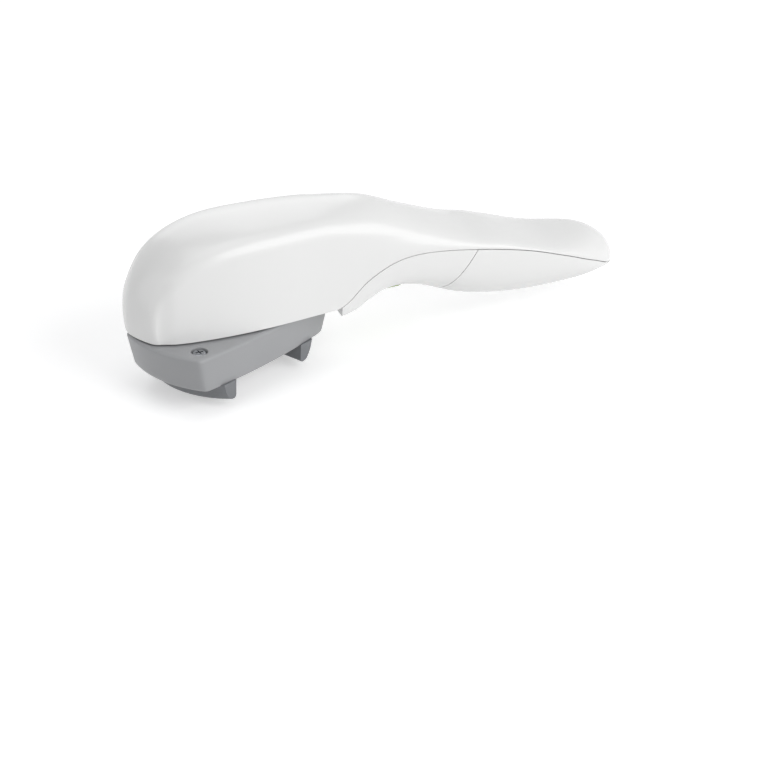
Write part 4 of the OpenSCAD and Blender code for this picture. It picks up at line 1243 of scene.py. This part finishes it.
@dataclass
class Carrier:
    """Grey jaw carrier: two round ends between two bowed sides, with soft corners."""

    turn: float = 22.0
    sweep_radius: float = 39.4
    half_width: float = 19.9
    side_r: float = 267.45
    low: float = -0.8
    height: float = 13.5
    wall: float = 2.0
    foot_wall: float = 0.9
    end_taper: float = 3.8
    side_taper: float = 1.4
    end_foot: float = 2.0
    side_foot: float = 1.0
    rim_edge: float = 1.5
    top_wall: float = 2.5
    hub_r: float = 6.0
    hub_top: float = 18.5
    bore_r: float = 2.55
    corner_power: float = 60.0
    screw_at: Flat = (29.7, 12.2)
    recess_r: float = 3.0
    recess_t: float = 1.4
    recess_edge: float = 0.2
    screw_head: Flat = (4.9, 1.2)
    cavity_step: float = 9.0
    foot_reach: float = 1.0
    foot_start: float = 11.0
    groove_z: Flat = (16.75, 17.65)
    groove_depth: float = 0.8
    hub_edge: float = 0.3
    corner_turns: Flat = (23.0, 31.0)
    corner_counts: tuple[int, int, int] = (9, 18, 16)

    def end_r(self, z: float) -> float:
        """Radius of the round ends at a height."""
        share = (z - self.low) / (self.height - self.low)
        return self.sweep_radius - self.end_taper * (1 - share)

    def flank_r(self, z: float) -> float:
        """Radius of the bowed sides at a height."""
        share = (z - self.low) / (self.height - self.low)
        return self.side_r - self.side_taper * (1 - share)

    def turns(self) -> list[float]:
        """Directions of the points of a ring, closer together at the four corners.

        Returns:
            The directions in radians.
        """
        stops = (0.0, *self.corner_turns, 90.0)
        quarter = [lerp(stops[i], stops[i + 1], k / n)
                   for i, n in enumerate(self.corner_counts) for k in range(n)]
        half = quarter + [180 - a for a in [90.0] + quarter[:0:-1]]
        return [math.radians(a) for a in half + [180 + a for a in half]]

    def ring(self, end: Flat, side: Flat) -> Row:
        """Ring of points round the carrier.

        Args:
            end: Radius of its ends, and their height.
            side: Radius of its sides, and their height.

        Returns:
            The points along the carrier's own axes.
        """
        offset = self.side_r - self.half_width
        row = []
        for a in self.turns():
            c, s = math.cos(a), abs(math.sin(a))
            flank = math.sqrt((offset * s) ** 2 - offset ** 2 + side[0] ** 2) - offset * s
            ends, flanks = end[0] ** -self.corner_power, flank ** -self.corner_power
            r = (ends + flanks) ** (-1 / self.corner_power)
            z = lerp(side[1], end[1], ends / (ends + flanks))
            row.append((r * c, r * math.sin(a), z))
        return row

    def level(self, z: float, inset: float) -> Row:
        """Ring at one height, a given way inside the outer wall."""
        return self.ring((self.end_r(z) - inset, z), (self.flank_r(z) - inset, z))

    def round_ring(self, r: float, z: float) -> Row:
        """Circle about the axis."""
        return [(r * math.cos(a), r * math.sin(a), z) for a in self.turns()]

    def rings(self) -> list[Row]:
        """All rings, from the cavity's ceiling over the outside to the bore of the hub.

        Returns:
            The rings in their order.
        """
        ceiling = self.height - self.top_wall
        rings = [self.round_ring(self.bore_r, ceiling),
                 self.level(ceiling, self.wall + self.cavity_step),
                 self.level(ceiling, self.wall),
                 self.level(self.low + self.foot_reach, self.foot_wall)]
        for k in range(9):
            a = math.radians(lerp(self.foot_start, 90, k / 8))
            back, rise = 1 - math.sin(a), 1 - math.cos(a)
            z_end, z_side = self.low + self.end_foot * rise, self.low + self.side_foot * rise
            rings.append(self.ring((self.end_r(z_end) - self.end_foot * back, z_end),
                                   (self.flank_r(z_side) - self.side_foot * back, z_side)))
        start, stop = self.low + self.end_foot, self.height - self.rim_edge
        rings += [self.level(lerp(start, stop, k / 6), 0) for k in range(1, 6)]
        for k in range(9):
            a = math.radians(90 * k / 8)
            z = self.height - self.rim_edge * (1 - math.sin(a))
            rings.append(self.level(z, self.rim_edge * (1 - math.cos(a))))
        edge, hub = rings[-1], self.round_ring(self.hub_r, self.height)
        rings += [[mix_points(p, q, k / 4) for p, q in zip(edge, hub)] for k in range(1, 5)]
        r, neck, (low, high) = self.hub_r, self.hub_r - self.groove_depth, self.groove_z
        return rings + [self.round_ring(*p) for p in (
            (r, low), (neck, low), (neck, high), (r, high), (r, self.hub_top - self.hub_edge),
            (r - self.hub_edge, self.hub_top), (self.bore_r, self.hub_top))]

    def place(self) -> Matrix:
        """Turn that carries the carrier's own axes into the opener's frame."""
        return Matrix.Rotation(math.radians(self.turn), 4, "Z")

    def corners(self, z: float) -> list[Vector]:
        """Places of the four screws at a height, in the opener's frame."""
        x, y = self.screw_at
        return [self.place() @ Vector((sx * x, sy * y, z)) for sx in (-1, 1) for sy in (-1, 1)]

    def build_shell(self) -> None:
        """Shell of the carrier, in place of its solid, with a recess for each screw."""
        rings = self.rings()
        n, m = len(rings), len(rings[0])
        faces = [[a * m + k, a * m + (k + 1) % m, b * m + (k + 1) % m, b * m + k]
                 for a, b in ((i, (i + 1) % n) for i in range(n)) for k in range(m)]
        points = [self.place() @ Vector(p) for row in rings for p in row]
        piece = new_object("carrier_body", scaled_mesh("carrier_body", points, faces), GREY_ABS)
        r, top, edge = self.recess_r, self.height, self.recess_edge
        well = [(0, top - self.recess_t), (r, top - self.recess_t), (r, top - edge),
                (r + 0.3 * edge, top - 0.3 * edge), (r + edge, top), (r + edge, top + 1),
                (0, top + 1)]
        cut_out(piece, joined([lathe(well, 48, Matrix.Translation(c)) for c in self.corners(0)]))
        smooth_by_angle(piece.data, 30)
        settle(piece, "carrier", "carrier_shell")

    def build(self) -> None:
        """Shell and the heads of its screws."""
        self.build_shell()
        heads = tuple(tuple(c) for c in self.corners(self.height - self.recess_t))
        Screws("carrier_screw_heads", heads, SCREW_STEEL, "dark_steel", "carrier",
               "carrier_screws", *self.screw_head).build()


@dataclass
class Spring:
    """Coil of round wire, wound by a node tree about its own Z."""

    name: str
    start_r: float
    end_r: float
    height: float
    turns: float
    wire_r: float

    def tree(self) -> Tree:
        """Node tree that sweeps the wire along a spiral.

        Returns:
            The tree.
        """
        tree, given = new_tree(self.name, {
            "Start Radius": "Float", "End Radius": "Float", "Height": "Float",
            "Turns": "Float", "Wire Radius": "Float", "Finish": "Material"})
        path = add_node(tree, "GeometryNodeCurveSpiral", {}, {
            "Resolution": 36, "Rotations": given["Turns"], "Start Radius": given["Start Radius"],
            "End Radius": given["End Radius"], "Height": given["Height"]})
        round_wire = add_node(tree, "GeometryNodeCurvePrimitiveCircle", {"mode": "RADIUS"}, {
            "Resolution": 12, "Radius": given["Wire Radius"]})
        wire = add_node(tree, "GeometryNodeCurveToMesh", {}, {
            "Curve": path.outputs["Curve"], "Profile Curve": round_wire.outputs["Curve"],
            "Fill Caps": True})
        dressed = add_node(tree, "GeometryNodeSetMaterial", {}, {
            "Geometry": wire.outputs["Mesh"], "Material": given["Finish"]})
        add_node(tree, "NodeGroupOutput", {}, {"Geometry": dressed.outputs[0]})
        return tree

    def build(self, places: Sequence[Matrix], node: str) -> Thing:
        """Wind the spring and set one down at each place.

        Args:
            places: Places of the spring's own axes, in millimetres.
            node: Solid that the springs stand for.

        Returns:
            One piece with all its springs.
        """
        holder = new_object(self.name, bpy.data.meshes.new(self.name), SPRING_STEEL)
        hang_tree(holder, self.tree(), {
            "Start Radius": self.start_r * MM, "End Radius": self.end_r * MM,
            "Height": self.height * MM, "Turns": self.turns,
            "Wire Radius": self.wire_r * MM, "Finish": SPRING_STEEL.build()})
        baked(holder)
        points = [v.co / MM for v in holder.data.vertices]
        faces = [list(f.vertices) for f in holder.data.polygons]
        bpy.data.objects.remove(holder)
        mesh = scaled_mesh(self.name, *joined([([m @ p for p in points], faces) for m in places]))
        piece = new_object(self.name, smooth_by_angle(mesh, 50), SPRING_STEEL)
        settle(piece, "housing", node)
        return piece


@dataclass
class Bay:
    """Two cells side by side on a line that falls to the tail, and their contact springs."""

    start: Point = (90.4, 0.0, 16.458)
    slope: float = 9.5
    length: float = 48.6
    cell_r: float = 5.25
    cell_length: float = 44.5
    tip_r: float = 1.89
    tip_t: float = 1.0
    spring_room: float = 3.6
    cell_y: float = 5.55
    spring_play: float = 0.3

    def along(self, x: float, side: Side) -> Matrix:
        """Place at x on one side whose Z runs along the cell, towards its tip.

        Args:
            x: Place along the bay.
            side: Side of the tail.

        Returns:
            The place, in millimetres.
        """
        bay = Matrix.Translation(self.start) @ Matrix.Rotation(math.radians(self.slope), 4, "Y")
        middle = Matrix.Translation((self.length / 2, 0, 0))
        turned = Matrix.Rotation(math.pi if side is Side.RIGHT else 0.0, 4, "Z")
        own = Matrix.Translation((x - self.length / 2, self.cell_y, 0))
        return bay @ middle @ turned @ own @ Matrix.Rotation(math.pi / 2, 4, "Y")

    def can(self) -> list[Flat]:
        """Profile of the steel can with its stepped tip.

        Returns:
            Pairs of radius and height.
        """
        r, top, tip = self.cell_r - 0.25, self.cell_length - self.tip_t, self.tip_r
        return [(0, 0.05), (r - 0.6, 0.05), (r - 0.1, 0.3), (r, 0.6), (r, top - 0.6),
                (r - 0.2, top - 0.25), (r - 0.8, top - 0.2), (r - 1.1, top - 0.5),
                (r - 2, top - 0.5), (tip + 0.5, top - 0.35), (tip, top - 0.1),
                (tip, self.cell_length - 0.25), (tip - 0.2, self.cell_length - 0.05),
                (0, self.cell_length)]

    def sleeve(self) -> list[Flat]:
        """Closed profile of the sleeve, shrunk round both ends of the can.

        Returns:
            Pairs of radius and height.
        """
        r, top = self.cell_r, self.cell_length - self.tip_t
        return [(r - 0.7, 0), (r - 0.25, 0.03), (r - 0.05, 0.2), (r, 0.5), (r, top - 0.5),
                (r - 0.05, top - 0.2), (r - 0.25, top - 0.04), (r - 0.65, top),
                (r - 0.65, top - 0.1), (r - 0.3, top - 0.14), (r - 0.15, top - 0.3),
                (r - 0.12, top - 0.6), (r - 0.12, 0.6), (r - 0.2, 0.3), (r - 0.35, 0.13),
                (r - 0.7, 0.1), (r - 0.7, 0)]

    def build_cell(self, side: Side, finish: Finish) -> None:
        """One cell in place of its solid: the can, and the sleeve round it.

        Args:
            side: Side of the tail.
            finish: Finish of its sleeve.
        """
        label = side.name.lower()
        place = self.along(self.spring_room, side)
        for kind, profile, dress, slot in (("can", self.can(), STEEL, "steel"),
                                           ("sleeve", self.sleeve(), finish, "cell_grey")):
            mesh = scaled_mesh(f"cell_{kind}_{label}", *lathe(profile, 64, place))
            piece = new_object(f"cell_{kind}_{label}", smooth_by_angle(mesh, 40), dress)
            settle(piece, "housing", f"battery_cell_{label}")

    def build(self) -> None:
        """Both cells and both contact springs."""
        self.build_cell(Side.LEFT, LEFT_SLEEVE)
        self.build_cell(Side.RIGHT, RIGHT_SLEEVE)
        coil = Spring("contact_coils", start_r=3.4, end_r=2.0, height=3.0, turns=3, wire_r=0.25)
        coil.build([self.along(self.spring_play, side) for side in Side], "contact_springs")


@dataclass
class Trigger:
    """Green button: a stadium with a crowned face and a soft edge."""

    x: float = 62.0
    length: float = 20.0
    width: float = 13.0
    low: float = 12.1
    crown_r: float = 26.0
    flange_z: float = 17.4
    flange_t: float = 1.2
    flange_more: Flat = (2.4, 2.0)
    soft: float = 1.1
    travel: float = 2.0
    spring_x: float = 57.0
    spring_h: float = 9.8
    spring_wire: float = 0.3
    spring_r: float = 2.3
    spring_turns: int = 6
    spring_gap: float = 0.05
    face_end: float = 0.02

    def face_z(self, x: float, inset: float) -> float:
        """Height of the pressed face at x, a given way in from its edge.

        Args:
            x: Place along the button.
            inset: Distance in from its edge.

        Returns:
            The height.
        """
        crown = self.low + self.crown_r - math.sqrt(self.crown_r ** 2 - x * x)
        back = max(0.0, self.soft - inset)
        return crown + self.soft - math.sqrt(self.soft ** 2 - back ** 2)

    def build(self) -> None:
        """The button in place of its solid."""
        insets = [self.soft * (1 - math.cos(math.radians(90 * k / 8))) for k in range(9)]
        insets += [lerp(self.soft, self.width / 2 - self.face_end, k / 8) for k in range(1, 9)]
        top = self.flange_z + self.flange_t
        size = (self.length, self.width)
        flange = (size[0] + self.flange_more[0], size[1] + self.flange_more[1])
        rings: list[Row] = [
            [(x, y, z) for x, y in stadium(*wide)]
            for wide, z in ((flange, top), (flange, self.flange_z), (size, self.flange_z))]
        for inset in insets:
            ring = stadium(self.length - 2 * inset, self.width - 2 * inset)
            rings.append([(x, y, self.face_z(x, inset)) for x, y in ring])
        n = len(rings[0])
        points = [(self.x + x, y, z) for ring in rings for x, y, z in ring]
        faces = [[r * n + k, (r + 1) * n + k, (r + 1) * n + (k + 1) % n, r * n + (k + 1) % n]
                 for r in range(len(rings) - 1) for k in range(n)]
        faces.append(list(range(n)))
        last = (len(rings) - 1) * n
        faces.append([last + k for k in range(n)][::-1])
        mesh = smooth_by_angle(scaled_mesh("trigger", points, faces), 40)
        settle(new_object("trigger", mesh, GREEN_ABS), "trigger", "trigger_button")
        self.build_spring()

    def build_spring(self) -> None:
        """Spring behind the button, wound at one fixed length."""
        foot = self.flange_z + self.flange_t + self.spring_wire + self.spring_gap
        coil = Spring("trigger_coil", self.spring_r, self.spring_r, self.spring_h,
                      self.spring_turns, self.spring_wire)
        piece = coil.build([Matrix.Translation((self.spring_x, 0, foot))], "trigger_spring")
        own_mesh(piece)


@dataclass(frozen=True)
class Dress:
    """Finishes of the solids that stay as they are."""

    groups: tuple[tuple[Finish, tuple[str, ...]], ...] = (
        (WHITE_ABS, ("head_base_plate", "battery_tray")),
        (STEEL, ("base_screws", "handle_screw", "board_screws", "motor_can", "motor_screws",
                 "idler_shaft", "upper_axle", "hub_retainer", "jaw_pinion")),
        (BLACK_NYLON, ("microswitch_body", "motor_end_cap", "gearbox_frame")),
        (ACETAL, ("switch_plunger", "crown_gear", "upper_reduction_gear",
                  "lower_reduction_gear", "output_gear", "hub_washer")),
        (BOARD, ("control_board",)),
        (BRASS, ("contact_plates", "motor_pinion")),
        (GREY_ABS, ("carrier_bottom_plate",)),
        (JAW_ABS, ("jaw_front", "jaw_rear")))
    smooth_degrees: float = 30.0

    def smooth_tree(self) -> Tree:
        """Node tree that shades a solid smooth up to an angle.

        Returns:
            The tree.
        """
        tree, given = new_tree("smooth_solid", {"Geometry": "Geometry", "Angle": "Float"})
        whole = add_node(tree, "GeometryNodeMergeByDistance", {}, {
            "Geometry": given["Geometry"], "Distance": 2e-6})
        angle = add_node(tree, "GeometryNodeInputMeshEdgeAngle")
        under = add_node(tree, "FunctionNodeCompare", {
            "data_type": "FLOAT", "operation": "LESS_THAN"}, {
            0: angle.outputs["Unsigned Angle"], 1: given["Angle"]})
        edges = add_node(tree, "GeometryNodeSetShadeSmooth", {"domain": "EDGE"}, {
            "Geometry": whole.outputs["Geometry"], "Shade Smooth": under.outputs["Result"]})
        faces = add_node(tree, "GeometryNodeSetShadeSmooth", {"domain": "FACE"}, {
            "Geometry": edges.outputs["Geometry"], "Shade Smooth": True})
        add_node(tree, "NodeGroupOutput", {}, {"Geometry": faces.outputs["Geometry"]})
        return tree

    def build(self) -> None:
        """Give each solid its finish and smooth shading."""
        tree = self.smooth_tree()
        for finish, nodes in self.groups:
            for node in nodes:
                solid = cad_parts[node]
                solid.data.materials.clear()
                solid.data.materials.append(finish.build())
                hang_tree(solid, tree, {"Angle": math.radians(self.smooth_degrees)})
                LOG.info("%s: %s", node, finish.name)


@dataclass(frozen=True)
class Lamp:
    """Soft square lamp that looks from one place to another, in metres and watts."""

    name: str
    place: Point
    aim: Point
    size: float
    watts: float

    def build(self) -> None:
        """Hang the lamp."""
        data = bpy.data.lights.new(self.name, "AREA")
        data.shape, data.size, data.energy = "SQUARE", self.size, self.watts
        lamp = bpy.data.objects.new(self.name, data)
        turn = (Vector(self.aim) - Vector(self.place)).to_track_quat("-Z", "Y")
        lamp.matrix_world = Matrix.Translation(self.place) @ turn.to_matrix().to_4x4()
        bpy.context.scene.collection.objects.link(lamp)


@dataclass
class Studio:
    """Pale floor, soft lamps and the camera."""

    azimuth: float = -30.44
    elevation: float = 27.847
    roll: float = 1.737
    distance_mm: float = 1034.84
    focal_px: float = 2771.38
    frame_px: float = 781.0
    sensor_mm: float = 36.0
    target: Point = (66.953, 0.113, -33.835)
    floor_z: float = -9.9
    floor_half: float = 6.0
    floor_glow: float = 0.42
    fill: float = 0.3
    lamps: tuple[Lamp, ...] = (
        Lamp("key", (0.5, -0.85, 0.5), (0.05, 0, 0.02), 1.0, 7.7),
        Lamp("top", (-0.1, 0.1, 1.1), (0.05, 0, 0.02), 0.8, 2.3),
        Lamp("nose", (-1.0, 0.1, 0.35), (0.0, 0, 0.03), 0.9, 1.9),
        Lamp("back", (0.3, 0.85, 0.5), (0.05, 0, 0.02), 0.7, 1.6))

    def camera(self) -> None:
        """Camera at the photograph's place, with its long lens."""
        a, e, r = (math.radians(v) for v in (self.azimuth, self.elevation, self.roll))
        back = Vector((math.sin(a) * math.cos(e), -math.cos(a) * math.cos(e), math.sin(e)))
        right = Vector((math.cos(a), math.sin(a), 0))
        up = back.cross(right)
        turned = right * math.cos(r) + up * math.sin(r)
        above = up * math.cos(r) - right * math.sin(r)
        data = bpy.data.cameras.new("camera")
        data.sensor_width = self.sensor_mm
        data.lens = self.focal_px * self.sensor_mm / self.frame_px
        data.clip_start, data.clip_end = 0.01, 50
        camera = bpy.data.objects.new("camera", data)
        spin = Matrix((turned, above, back)).transposed().to_4x4()
        where = Vector(self.target) * MM + back * self.distance_mm * MM
        camera.matrix_world = Matrix.Translation(where) @ spin
        bpy.context.scene.collection.objects.link(camera)
        bpy.context.scene.camera = camera

    @staticmethod
    def seen(tree: Tree) -> Socket:
        """One for the rays of the camera, of mirrors and of clear things, else zero.

        Args:
            tree: Tree that takes the nodes.

        Returns:
            The socket that gives it.
        """
        rays = add_node(tree, "ShaderNodeLightPath").outputs
        seen = rays["Is Camera Ray"]
        for label in ("Is Glossy Ray", "Is Transmission Ray"):
            seen = add_node(tree, "ShaderNodeMath", {"operation": "MAXIMUM"}, {
                0: seen, 1: rays[label]}).outputs[0]
        return seen

    def floor(self) -> None:
        """White floor that keeps the shadow of the opener, clear when seen from below."""
        mesh = bpy.data.meshes.new("floor")
        r, z = self.floor_half, self.floor_z * MM
        mesh.from_pydata([(-r, -r, z), (r, -r, z), (r, r, z), (-r, r, z)], [], [(0, 1, 2, 3)])
        ground = bpy.data.materials.new("paper_floor")
        ground.use_nodes = True
        tree = ground.node_tree
        tree.nodes.clear()
        matt = add_node(tree, "ShaderNodeBsdfDiffuse", {}, {"Color": linear("#F4F4F4")})
        glow = add_node(tree, "ShaderNodeEmission", {}, {
            "Color": linear("#FFFFFF"), "Strength": self.floor_glow})
        lit = add_node(tree, "ShaderNodeAddShader", {}, {0: matt.outputs[0], 1: glow.outputs[0]})
        both = add_node(tree, "ShaderNodeMixShader", {}, {
            0: self.seen(tree), 1: matt.outputs[0], 2: lit.outputs[0]})
        under = add_node(tree, "ShaderNodeNewGeometry").outputs["Backfacing"]
        clear = add_node(tree, "ShaderNodeBsdfTransparent")
        sided = add_node(tree, "ShaderNodeMixShader", {}, {
            0: under, 1: both.outputs[0], 2: clear.outputs[0]})
        add_node(tree, "ShaderNodeOutputMaterial", {}, {"Surface": sided.outputs[0]})
        mesh.materials.append(ground)
        floor = bpy.data.objects.new("floor", mesh)
        bpy.context.scene.collection.objects.link(floor)

    def world(self) -> None:
        """Even pale surround, white where it is seen or mirrored."""
        world = bpy.data.worlds.new("surround")
        world.use_nodes = True
        tree = world.node_tree
        tree.nodes.clear()
        fill = add_node(tree, "ShaderNodeBackground", {}, {
            "Color": linear("#F6F7F9"), "Strength": self.fill})
        white = add_node(tree, "ShaderNodeBackground", {}, {
            "Color": linear("#FFFFFF"), "Strength": 1.0})
        both = add_node(tree, "ShaderNodeMixShader", {}, {
            0: self.seen(tree), 1: fill.outputs[0], 2: white.outputs[0]})
        add_node(tree, "ShaderNodeOutputWorld", {}, {"Surface": both.outputs[0]})
        bpy.context.scene.world = world

    def build(self) -> None:
        """Camera, floor, surround and lamps."""
        self.camera()
        self.floor()
        self.world()
        for lamp in self.lamps:
            lamp.build()
        bpy.context.scene.view_settings.view_transform = "Standard"


def main() -> None:
    """Build the opener's looks piece by piece."""
    logging.basicConfig(level=logging.INFO, format="%(message)s")
    Studio().build()
    Mouldings().build()
    Trigger().build()
    Bay().build()
    Carrier().build()
    Dress().build()


if __name__ == "__main__":
    main()
